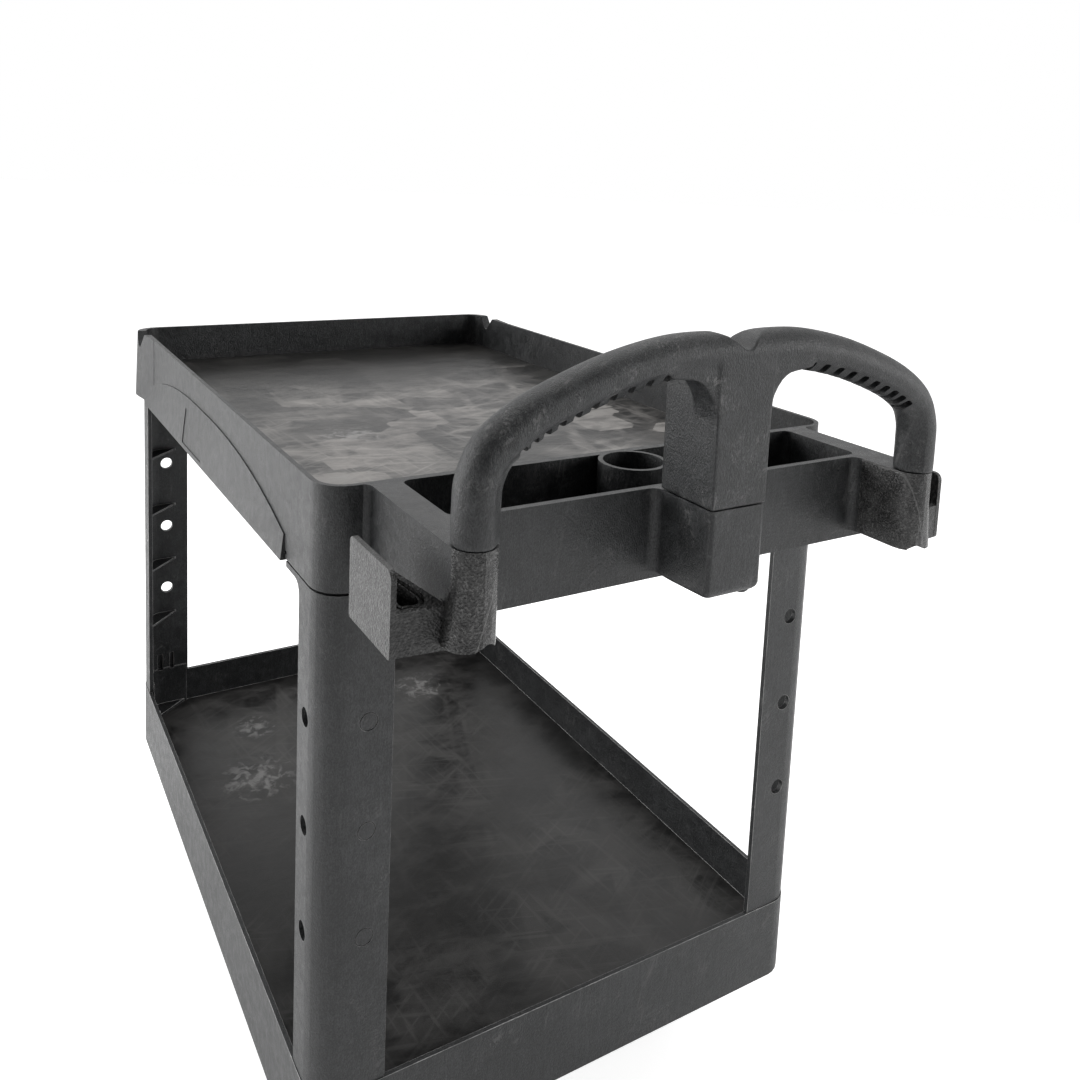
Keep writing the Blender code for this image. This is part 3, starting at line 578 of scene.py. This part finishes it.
def is_floor(height):
    """A test for the upward faces of a tray floor at that height."""
    return lambda centre, normal: normal.z > 0.9 and abs(centre.z - height) < 0.002


def on_hook(centre, normal):
    """A test for the faces of the side hooks and their boxes."""
    return abs(centre.x) > CONSOLE_HALF + 0.0005 and centre.y < NEAR - 0.073


def on_boss(centre, normal):
    """A test for the upright faces of the bosses under the handle's legs."""
    inner = LEG_X - ARM_WIDTH / 2 - 0.001
    return abs(centre.x) > inner and centre.y < FRONT + 0.05 and abs(normal.z) < 0.5


def slope_drop(x, y):
    """Drop from the rim to the sloping top of a hook's box."""
    back = y - HOOK_FRONT - 0.0005
    return HOOK_DROP - HOOK_SLOPE * back + HOOK_LEAN * (HALF - 0.002 - x)


def hook_outline(grow, radius):
    """The rounded triangle of a hook's pocket, seen from above and grown by a distance."""
    outer, inner = HALF - 0.0095 + grow, CONSOLE_HALF + 0.0125 - 2.2 * grow
    return rounded([
        (outer, NEAR - 0.1385 + 1.8 * grow, radius),
        (outer, HOOK_FRONT + 0.0065 - grow, radius),
        (inner, HOOK_FRONT + 0.0060 - grow, radius),
    ], 5)


def to_slope(outline, side, height, lift):
    """A body over an outline, between a height and a distance above the hook's sloping top."""
    slope = [(side * x, y, RIM_TOP - slope_drop(x, y) + lift) for x, y in outline]
    return body("slope", [[(x, y, height) for x, y, _ in slope], slope])


def hook_details(made):
    """Rebuilds each hook's pocket with round corners, a lip and a rib behind it."""
    plate = HALF - 0.0052
    arm = CONSOLE_HALF + 0.0004
    behind = [
        (plate, NEAR - 0.1195),
        (plate, NEAR - 0.1265),
        (arm, HOOK_FRONT + 0.0025),
        (arm, NEAR - 0.1400),
    ]
    for side in (1, -1):
        filling = to_slope(hook_outline(0.0016, 0.0012), side, POCKET_FLOOR - 0.002, -0.0002)
        combine(made, [filling])
        moat = to_slope(hook_outline(0.0034, 0.0050), side, RIM_TOP, -0.0028)
        cut(moat, [to_slope(hook_outline(0.0014, 0.0042), side, POCKET_FLOOR, -0.0006)])
        pocket = prism([(side * x, y) for x, y in hook_outline(0.0, 0.0034)], POCKET_FLOOR, RIM_TOP)
        back = prism([(side * x, y) for x, y in behind], RIM_TOP - 0.0870, RIM_TOP)
        cut(made, [moat, pocket, back])


def handle_fixings():
    """Where the handle's three bolts stand."""
    return [(-LEG_X, LEG_Y), (0.0, FRONT + POST_DEEP / 2), (LEG_X, LEG_Y)]


def centre_nub():
    """A rounded foot under the centre boss."""
    profile = [(0, 0.006), (0.0075, 0.006), (0.0075, -0.0016), (0.0055, -0.0034), (0, -0.0034)]
    nub = turned("nub", profile, "Z", 32)
    nub.location = (POST_HALF - 0.0105, FRONT + 0.0150, RIM_TOP - CENTRE_DROP)
    return nub


def centre_trim(steps=7):
    """What is cut away to round the foot of the centre boss, less towards the console's wall."""
    low, wall_y = RIM_TOP - CENTRE_DROP, NEAR - 0.1175
    radius, side = 0.0100, POST_HALF + 0.001
    rings = []
    for k in range(steps + 1):
        rise = radius * k / steps
        inset = radius - math.sqrt(radius**2 - (radius - rise) ** 2)
        wide = POST_HALF - inset * 0.8
        outline = rounded([
            (-wide, FRONT + inset, 0.005),
            (wide, FRONT + inset, 0.005),
            (side, wall_y - 0.002, 0),
            (side, wall_y + 0.02, 0),
            (-side, wall_y + 0.02, 0),
            (-side, wall_y - 0.002, 0),
        ])
        rings.append([(x, y, low + rise) for x, y in outline])
    rings.append([(x, y, low + radius + 0.01) for x, y in outline])
    block = rectangle(-POST_HALF - 0.0003, POST_HALF + 0.0003, FRONT - 0.004, wall_y - 0.0025)
    return cut(prism(block, low - 0.004, low + radius), [body("kept", rings)])


def boss_arches():
    """The shallow arch in the foot of each outer boss."""
    foot = RIM_TOP - ARM_DROP
    arch = rounded([
        (LEG_X - 0.0155, foot - 0.004, 0.0),
        (LEG_X + 0.0110, foot - 0.004, 0.0),
        (LEG_X + 0.0060, foot + 0.0010, 0.005),
        (LEG_X - 0.0070, foot + 0.0058, 0.005),
        (LEG_X - 0.0145, foot + 0.0010, 0.003),
    ])
    return both_sides(arch, FRONT - 0.002, FRONT + 0.030, "Y")


def boss_flares():
    """Each outer boss leans out towards its foot."""
    # Drop from the rim, shift out, shift back and radius, at the top and at the foot.
    sections = [(0.012, -0.0010, 0.001, 0.0190), (ARM_DROP - 0.0005, 0.0045, 0.002, 0.0212)]
    shapes = []
    for side in (1, -1):
        rings = []
        for drop, out, back, radius in sections:
            outline = circle(side * (LEG_X + out), LEG_Y + back, radius, 48)
            rings.append([(x, y, RIM_TOP - drop) for x, y in outline])
        shapes.append(body("flare", rings))
    return shapes


def panel_holes():
    """A small blind hole by the near end of each side panel."""
    outline = circle(NEAR + 0.1065, RIM_TOP - 0.0985, 0.0022, 16)
    return both_sides(outline, HALF - 0.0015, HALF + 0.01, "X")


def top_shelf():
    """The upper tray with its console, from the CAD shape and finer details."""
    made = copy_of("top_shelf", "top_shelf_moulding")
    hook_details(made)
    combine(made, boss_flares())
    cut(made, [centre_trim()] + boss_arches() + panel_holes())
    combine(made, [centre_nub()])
    join_flat_faces(made.data)
    tests = [(4, on_boss), (2, is_floor(FLOOR_TOP)), (3, on_hook)]
    paint(made, [FOAM, EDGE, TOP_FLOOR, PEBBLED, ROUGH], tests)
    round_edges(made, 0.0015, worn=1)
    return install(made, "cart", "foam_plastic", "top_shelf")


def bottom_shelf():
    """The lower tray."""
    made = copy_of("bottom_shelf", "bottom_shelf_moulding")
    join_flat_faces(made.data)
    paint(made, [FOAM, EDGE, LOW_FLOOR], [(2, is_floor(FLOOR_LOW))])
    round_edges(made, 0.0016, worn=1)
    return install(made, "cart", "foam_plastic", "bottom_shelf")


def knock_outs(corner_x, corner_y, turn):
    """Ring grooves of the closed knock-outs on an upright's other leg."""
    rings = []
    outer, inner = KNOCK_OUT_RADIUS, KNOCK_OUT_RADIUS - 0.0011
    for k in range(3):
        z = RIM_TOP - KNOCK_OUT_DROP - KNOCK_OUT_PITCH * k
        ring = prism(circle(KNOCK_OUT_IN, z, outer), -0.01, 0.0019, "Y")
        cut(ring, [prism(circle(KNOCK_OUT_IN, z, inner), -0.02, 0.01, "Y")])
        ring.location = (corner_x, corner_y, 0)
        ring.rotation_euler = (0, 0, turn)
        rings.append(ring)
    return rings


def uprights():
    """The four corner posts, from near left anticlockwise."""
    corners = [(-HALF, NEAR), (HALF, NEAR), (HALF, FAR), (-HALF, FAR)]
    names = ("near_left", "near_right", "far_right", "far_left")
    for k, (name, (x, y)) in enumerate(zip(names, corners)):
        made = copy_of(f"upright_{name}", f"post_{name}")
        cut(made, knock_outs(x, y, math.pi / 2 * k))
        join_flat_faces(made.data)
        paint(made, [FOAM, EDGE])
        round_edges(made, 0.0014, worn=1)
        install(made, "cart", "foam_plastic", f"upright_{name}")


def arch_station(part):
    """Centre and direction of the handle's section at a fraction of its length."""
    stops = [
        (LEG_X, 0.0),
        (LEG_X, 0.030),
        (0.2600, 0.0530),
        (0.2480, 0.0765),
        (0.2200, 0.0965),
        (0.1800, 0.1140),
        (0.1300, 0.1303),
        (0.0750, 0.1408),
        (0.0220, 0.1420),
        (-0.0120, 0.1420),
    ]
    place = part * (len(stops) - 1)
    i = min(int(place), len(stops) - 2)
    nearby = [stops[min(max(j, 0), len(stops) - 1)] for j in range(i - 1, i + 3)]
    before, here, there, after = (Vector(stop) for stop in nearby)
    t = place - i
    bend = (there - before) / 2
    leave = (after - here) / 2
    point = (2 * t**3 - 3 * t**2 + 1) * here + (t**3 - 2 * t**2 + t) * bend
    point += (3 * t**2 - 2 * t**3) * there + (t**3 - t**2) * leave
    slope = (6 * t**2 - 6 * t) * here + (3 * t**2 - 4 * t + 1) * bend + (6 * t - 6 * t**2) * there
    slope += (3 * t**2 - 2 * t) * leave
    along = Vector((slope.x, 0, slope.y)).normalized()
    return Vector((point.x, LEG_Y, BASE + point.y)), along


def section_radius(angle):
    """The handle's section: round, with a flat along its lower front."""
    flat, flat_angle = 0.925, math.radians(222)
    away = math.remainder(angle - flat_angle, math.tau)
    if abs(away) < math.pi / 2:
        return LEG_RADIUS * min(1.0, flat / math.cos(away))
    return LEG_RADIUS


def arch(side, stations=72, around=56):
    """One arm of the handle, swept from its leg to the centre post."""
    rings = []
    for k in range(stations + 1):
        centre, along = arch_station(k / stations)
        up = Vector((0, 1, 0)).cross(along)
        ring = []
        for n in range(around):
            angle = math.tau * n / around
            radius = section_radius(angle)
            point = centre + up * (radius * math.sin(angle)) + Vector((0, radius * math.cos(angle), 0))
            ring.append((side * point.x, point.y, max(point.z, BASE)))
        rings.append(ring)
    return body("arch", rings)


def grip_slots(side):
    """Small rounded pockets between ribs along the underside of one arm."""
    cutters = []
    for k in range(GRIP_COUNT):
        centre, along = arch_station(GRIP_START + GRIP_REACH * k / (GRIP_COUNT - 1))
        up = Vector((0, 1, 0)).cross(along)
        rings = []
        for lift in (-LEG_RADIUS - 0.004, -LEG_RADIUS + 0.012):
            ring = []
            for u, v in rectangle(-0.0042, 0.0042, -0.0160, 0.0060, 0.0022, 4):
                point = centre + up * lift + along * u + Vector((0, v, 0))
                ring.append((side * point.x, point.y, point.z))
            rings.append(ring)
        cutters.append(body("slot", rings))
    return cutters


def arch_fillets(start=0.075, wide=0.030, high=0.047, steps=8):
    """Elliptical fillets between the centre post and the undersides of the arches."""
    blend = [(POST_HALF - 0.01, BASE + start)]
    for k in range(steps + 1):
        turn = math.pi / 2 * k / steps
        along, up = wide * (1 - math.cos(turn)), high * math.sin(turn)
        blend.append((POST_HALF - 0.0005 + along, BASE + start + up))
    blend += [(0.085, BASE + 0.125), (0.085, BASE + 0.138), (POST_HALF - 0.01, BASE + 0.138)]
    return both_sides(blend, FRONT + 0.002, FRONT + 0.033, "Y")


def saddle():
    """What is cut away to leave a soft valley between the arches, over the post."""
    slope = [(0.0, 0.1462), (0.003, 0.1468), (0.007, 0.1500), (0.012, 0.1545), (0.018, 0.1583)]
    slope += [(0.025, 0.1607), (0.033, 0.1618), (0.044, 0.1630), (0.044, 0.1760)]
    valley = [(x, BASE + z) for x, z in slope]
    valley += [(-x, z) for x, z in reversed(valley[1:])]
    return prism(valley, FRONT - 0.01, FRONT + POST_DEEP + 0.01, "Y")


def handle():
    """Two arches and a centre post, blended into one smooth moulding."""
    back = FRONT + POST_DEEP
    side_view = rounded([
        (FRONT, BASE, 0.0),
        (back, BASE, 0.0),
        (back, BASE + 0.112, 0.012),
        (LEG_Y + 0.006, BASE + POST_HIGH, 0.010),
        (FRONT, BASE + POST_HIGH, 0.014),
    ])
    made = prism(side_view, -POST_HALF, POST_HALF, "X", "handle_moulding")
    combine(made, arch_fillets() + [arch(1), arch(-1)])
    cut(made, [saddle()])
    remesh = made.modifiers.new("skin", "REMESH")
    remesh.mode = "VOXEL"
    remesh.voxel_size = 0.0013
    smooth = made.modifiers.new("smooth", "SMOOTH")
    smooth.factor = 0.5
    smooth.iterations = 16
    settle(made)
    cuts = grip_slots(1) + grip_slots(-1)
    for x, y in handle_fixings():
        cuts.append(prism(circle(x, y, 0.0044, 16), BASE - 0.01, BASE + 0.030))
    cut(made, cuts, "MANIFOLD")
    made.data.shade_smooth()
    made.data.set_sharp_from_angle(angle=math.radians(45))
    paint(made, [FOAM_HANDLE])
    return install(made, "cart", "foam_plastic", "handle")


# Casters and fixings.


def metal(made, width, sharpest=32):
    """Zinc finish with rounded edges."""
    paint(made, [ZINC])
    return round_edges(made, width, 2, -1, sharpest)


def hexagon(name, radius, low, high, axis="Z"):
    """A hexagon whose outer corners are turned off at both ends."""
    made = prism(circle(0, 0, radius, 6), low, high, axis, name)
    middle = (low + high) / 2
    half = (high - low) / 2
    across = radius * math.cos(math.pi / 6)
    flat, corner, step = across * 0.97, radius * 1.01, half - 0.0014
    profile = [(0, middle - half), (flat, middle - half), (corner, middle - step)]
    profile += [(corner, middle + step), (flat, middle + half), (0, middle + half)]
    return combine(made, [turned("dome", profile, axis, 48)], "INTERSECT")


def cross_recess(top, way):
    """Two wedges that cut a cross recess down from a screw's top."""
    wedges = []
    for half_x, half_y in ((0.0027, 0.00045), (0.00045, 0.0027)):
        wide = rectangle(-half_x, half_x, -half_y, half_y)
        rings = [[(x * 1.08, y * 1.2, top + way * 0.001) for x, y in wide]]
        rings.append([(x * 0.45, y * 0.6, top - way * 0.0022) for x, y in wide])
        wedges.append(body("wedge", rings))
    return wedges


def corner_screws():
    """The pan head screws through the uprights' foot and head plates."""
    head, deep, shank = 0.0052, 0.0034, 0.003
    for kind, way in (("foot", 1), ("head", -1)):
        profile = rounded([
            (0, way * deep, 0),
            (head * 0.80, way * deep, 0.0012),
            (head, way * deep * 0.45, 0.0010),
            (head, 0, 0.0002),
            (shank, 0, 0),
            (shank, -way * 0.0155, 0.0008),
            (0, -way * 0.0155, 0),
        ], 4)
        for number in range(1, 5):
            node = f"{kind}_screw_{number}"
            low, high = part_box(node)
            seat = high.z - deep if way > 0 else low.z + deep
            made = turned(f"{node}_pan_head", profile, "Z", 32)
            cut(made, cross_recess(way * deep, way))
            made.location = ((low.x + high.x) / 2, (low.y + high.y) / 2, seat)
            install(metal(made, 0.00015), "cart", "zinc", node)


def soften(node, material, width):
    """Gives a CAD node its finish and rounded edges, with its base mesh left alone."""
    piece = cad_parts[node]
    piece.data.materials.clear()
    piece.data.materials.append(material)
    piece.data.shade_smooth()
    weld = piece.modifiers.new("weld", "WELD")
    weld.merge_threshold = 2e-5
    flat = piece.modifiers.new("flat", "DECIMATE")
    flat.decimate_type = "DISSOLVE"
    flat.angle_limit = math.radians(1.0)
    flat.delimit = {"NORMAL"}
    round_edges(piece, width)


def tread(name, centre, rider):
    """A wheel's rubber tread: softly crowned, with a groove round each shoulder."""
    half, outer = WHEEL_HALF, WHEEL_RADIUS
    profile = rounded([
        (RIM_RADIUS, -half, 0.0004),
        (outer - 0.0085, -half, 0.0010),
        (outer - 0.0080, -half + 0.0011, 0.0004),
        (outer - 0.0068, -half + 0.0011, 0.0004),
        (outer - 0.0060, -half + 0.0002, 0.0006),
        (outer - 0.0008, -half + 0.0012, 0.0048),
        (outer, 0, 0.060),
        (outer - 0.0008, half - 0.0012, 0.0048),
        (outer - 0.0060, half - 0.0002, 0.0006),
        (outer - 0.0068, half - 0.0011, 0.0004),
        (outer - 0.0080, half - 0.0011, 0.0004),
        (outer - 0.0085, half, 0.0010),
        (RIM_RADIUS, half, 0.0004),
    ], 5)
    made = turned(f"{name}_tyre", profile, "X", 128)
    made.data.shade_smooth()
    made.location = centre
    paint(made, [RUBBER])
    install(made, rider, "tread", f"{name}_tread")


def wheel_core(name, centre, rider):
    """A wheel's moulded core: flange, hub and ten ribs on each face of the web."""
    half, web, flange, hub_half = WHEEL_HALF - 0.001, 0.0035, 0.0435, WHEEL_HALF + 0.001
    edge = RIM_RADIUS - GAP
    side = [
        (edge, half),
        (flange, half),
        (flange - 0.0015, web),
        (HUB_RADIUS + 0.0015, web),
        (HUB_RADIUS, hub_half),
        (BORE, hub_half),
    ]
    made = turned(f"{name}_ribbed_core", side + [(r, -w) for r, w in reversed(side)], "X", 80)
    ribs = []
    for k in range(10):
        plan = rectangle(HUB_RADIUS - 0.002, flange + 0.002, -0.0012, 0.0012)
        rib = prism(plan, -half + 0.0035, half - 0.0035, "X")
        rib.rotation_euler = (math.tau * k / 10, 0, 0)
        ribs.append(rib)
    combine(made, ribs)
    join_flat_faces(made.data)
    paint(made, [WHEEL_CORE])
    round_edges(made, 0.0006)
    made.location = centre
    install(made, rider, "wheel_core", f"{name}_core")


def wheel_bush(name, centre, rider):
    """A wheel's steel bearing bush."""
    length = WHEEL_HALF + 0.0015
    profile = rounded([
        (BORE - GAP, -length, 0.0004),
        (BORE - GAP, length, 0.0004),
        (BUSH_BORE, length, 0.0003),
        (BUSH_BORE, -length, 0.0003),
    ], 3)
    made = turned(f"{name}_steel_bush", profile, "X", 48)
    made.location = centre
    install(metal(made, 0.0001), rider, "zinc", f"{name}_bush")


def axle(name, centre, rider):
    """An axle bolt with a chamfered hexagon head, and its nut with a washer face."""
    reach, head_thick, nut_thick = FORK_REACH, 0.0050, 0.0070
    bolt = hexagon(f"{name}_axle_bolt", HEAD_RADIUS, -reach - head_thick, -reach, "X")
    shank = rounded([
        (0, -reach - 0.001, 0),
        (AXLE_RADIUS, -reach - 0.001, 0),
        (AXLE_RADIUS, reach + 0.0100, 0.0010),
        (0, reach + 0.0100, 0),
    ], 3)
    combine(bolt, [turned("shank", shank, "X", 40)])
    nut = hexagon(f"{name}_axle_nut", HEAD_RADIUS, reach, reach + nut_thick, "X")
    cut(nut, [prism(circle(0, 0, AXLE_RADIUS + GAP, 40), reach - 0.01, reach + 0.02, "X")])
    for piece, node in ((bolt, f"{name}_axle"), (nut, f"{name}_nut")):
        join_flat_faces(piece.data)
        piece.location = centre
        install(metal(piece, 0.0003), rider, "zinc", node)


def caster_bolts(name, centre, seat):
    """Four hexagon bolts up through a caster's plate into the lower shelf."""
    head_thick, shank = 0.0050, 0.0038
    for number, (x, y) in enumerate([(1, 1), (-1, 1), (-1, -1), (1, -1)], start=1):
        bolt = hexagon(f"{name}_plate_bolt_{number}", 0.0070, -head_thick, -0.0006)
        washer = turned("washer", [(0, -0.0012), (0.0074, -0.0012), (0.0074, 0), (0, 0)], "Z", 40)
        stem = turned("stem", [(0, -0.001), (shank, -0.001), (shank, 0.0120), (0, 0.0120)], "Z", 32)
        combine(bolt, [washer, stem])
        join_flat_faces(bolt.data)
        bolt.location = (centre.x + x * BOLT_X, centre.y + y * BOLT_Y, seat)
        metal(bolt, 0.0003)
        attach(bolt, "cart")


def race(name, rider):
    """A swivel's ball race: two pressed rings with a dark gap between them."""
    low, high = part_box(f"{name}_race")
    radius, bore = (high.x - low.x) / 2, 0.0069
    tall = high.z - low.z
    profile = rounded([
        (bore, 0, 0.0004),
        (radius - 0.0035, 0, 0.002),
        (radius, tall * 0.32, 0.002),
        (radius - 0.0002, tall * 0.46, 0.0004),
        (radius - 0.0022, tall * 0.48, 0.0003),
        (radius - 0.0022, tall * 0.54, 0.0003),
        (radius - 0.0002, tall * 0.56, 0.0004),
        (radius, tall * 0.70, 0.002),
        (radius - 0.0035, tall, 0.002),
        (bore, tall, 0.0004),
    ], 4)
    made = turned(f"{name}_ball_race", profile, "Z", 96)
    made.location = ((low.x + high.x) / 2, (low.y + high.y) / 2, low.z)
    install(metal(made, 0.0001), rider, "zinc", f"{name}_race")


def kingpin(name):
    """A swivel's riveted kingpin with a dimpled head."""
    low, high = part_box(f"{name}_kingpin")
    radius, tall, head_high, pin = (high.x - low.x) / 2, high.z - low.z, 0.0025, 0.0063
    profile = rounded([
        (0, 0.0012, 0),
        (radius * 0.35, 0.0010, 0.001),
        (radius * 0.50, 0, 0.001),
        (radius * 0.85, 0, 0.001),
        (radius, head_high * 0.6, 0.001),
        (radius, head_high, 0.0003),
        (pin, head_high, 0),
        (pin, tall, 0.0006),
        (0, tall, 0),
    ], 4)
    made = turned(f"{name}_rivet", profile, "Z", 56)
    made.location = ((low.x + high.x) / 2, (low.y + high.y) / 2, low.z)
    install(metal(made, 0.0001), "cart", "zinc", f"{name}_kingpin")


def middle_of(node):
    """The centre of a CAD node's box."""
    low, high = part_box(node)
    return (low + high) / 2


def casters():
    """Swivel casters at the handle end and rigid ones at the far end."""
    for name in ("swivel_left", "swivel_right", "rigid_left", "rigid_right"):
        swivels = name.startswith("swivel")
        centre = middle_of(f"{name}_wheel_tread")
        rider = name if swivels else "cart"
        tread(f"{name}_wheel", centre, f"{name}_wheel")
        wheel_core(f"{name}_wheel", centre, f"{name}_wheel")
        wheel_bush(f"{name}_wheel", centre, f"{name}_wheel")
        axle(name, centre, rider)
        soften(f"{name}_fork", ZINC, 0.0008)
        plate = f"{name}_plate" if swivels else f"{name}_fork"
        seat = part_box(plate)[1].z - PLATE_THICK
        caster_bolts(name, middle_of(plate), seat)
        if swivels:
            soften(plate, ZINC, 0.0008)
            race(name, rider)
            kingpin(name)


# Studio.


def studio_floor():
    """A wide pale floor."""
    made = body("floor", [circle_ring(40.0, -0.02), circle_ring(40.0, 0.0)])
    paint(made, [pale_floor("pale_floor")])


def circle_ring(radius, height):
    """A wide ring of points at a height."""
    return [(x, y, height) for x, y in circle(0, 0, radius, 96)]


def area_light(name, place, target, size, power):
    """A square soft light aimed at a place."""
    data = bpy.data.lights.new(name, "AREA")
    data.size = size
    data.energy = power
    lamp = bpy.data.objects.new(name, data)
    lamp.location = place
    lamp.visible_camera = False
    lamp.rotation_euler = (Vector(target) - Vector(place)).to_track_quat("-Z", "Y").to_euler()
    bpy.context.scene.collection.objects.link(lamp)


def studio_light():
    """A surround that dims towards the camera, with soft lights left, right and above."""
    world = bpy.data.worlds.new("studio")
    world.use_nodes = True
    nodes, links = world.node_tree.nodes, world.node_tree.links
    background = nodes["Background"]
    direction = nodes.new("ShaderNodeTexCoord")
    across = nodes.new("ShaderNodeVectorMath")
    across.operation = "DOT_PRODUCT"
    across.inputs[1].default_value = (0.50, 0.86, 0.12)
    links.new(direction.outputs["Generated"], across.inputs[0])
    strength = nodes.new("ShaderNodeMapRange")
    strength.interpolation_type = "SMOOTHSTEP"
    for key, value in {"From Min": -0.75, "From Max": 0.45, "To Min": 0.07, "To Max": 0.75}.items():
        strength.inputs[key].default_value = value
    links.new(across.outputs["Value"], strength.inputs["Value"])
    seen = nodes.new("ShaderNodeLightPath")
    shown = nodes.new("ShaderNodeMath")
    shown.operation = "MAXIMUM"
    links.new(strength.outputs["Result"], shown.inputs[0])
    links.new(seen.outputs["Is Camera Ray"], shown.inputs[1])
    links.new(shown.outputs[0], background.inputs["Strength"])
    background.inputs["Color"].default_value = (1.0, 1.0, 1.0, 1.0)
    bpy.context.scene.world = world
    area_light("left_light", (-2.6, 1.6, 1.4), (-0.2, 0.1, 0.6), 2.0, 70)
    area_light("right_light", (2.6, -2.4, 1.6), (0, -0.2, 0.7), 1.4, 45)
    area_light("top_light", (0.4, 0.9, 3.2), (0, 0.1, 0.6), 1.8, 25)
    bpy.context.scene.view_settings.view_transform = "Standard"


def camera():
    """The camera at the photograph's viewing angle."""
    data = bpy.data.cameras.new("camera")
    data.sensor_width = 36
    data.lens = CAMERA_LENS
    data.shift_x, data.shift_y = CAMERA_SHIFT
    data.clip_end = 200
    made = bpy.data.objects.new("camera", data)
    made.location = CAMERA_PLACE
    made.rotation_euler = Euler([math.radians(a) for a in CAMERA_TURN])
    bpy.context.scene.collection.objects.link(made)
    bpy.context.scene.camera = made


def handle_bolts():
    """The three hexagon bolts under the handle."""
    for number in (1, 2, 3):
        soften(f"handle_bolt_{number}", ZINC, 0.0004)


camera()
studio_floor()
studio_light()
top_shelf()
bottom_shelf()
uprights()
handle()
corner_screws()
handle_bolts()
casters()
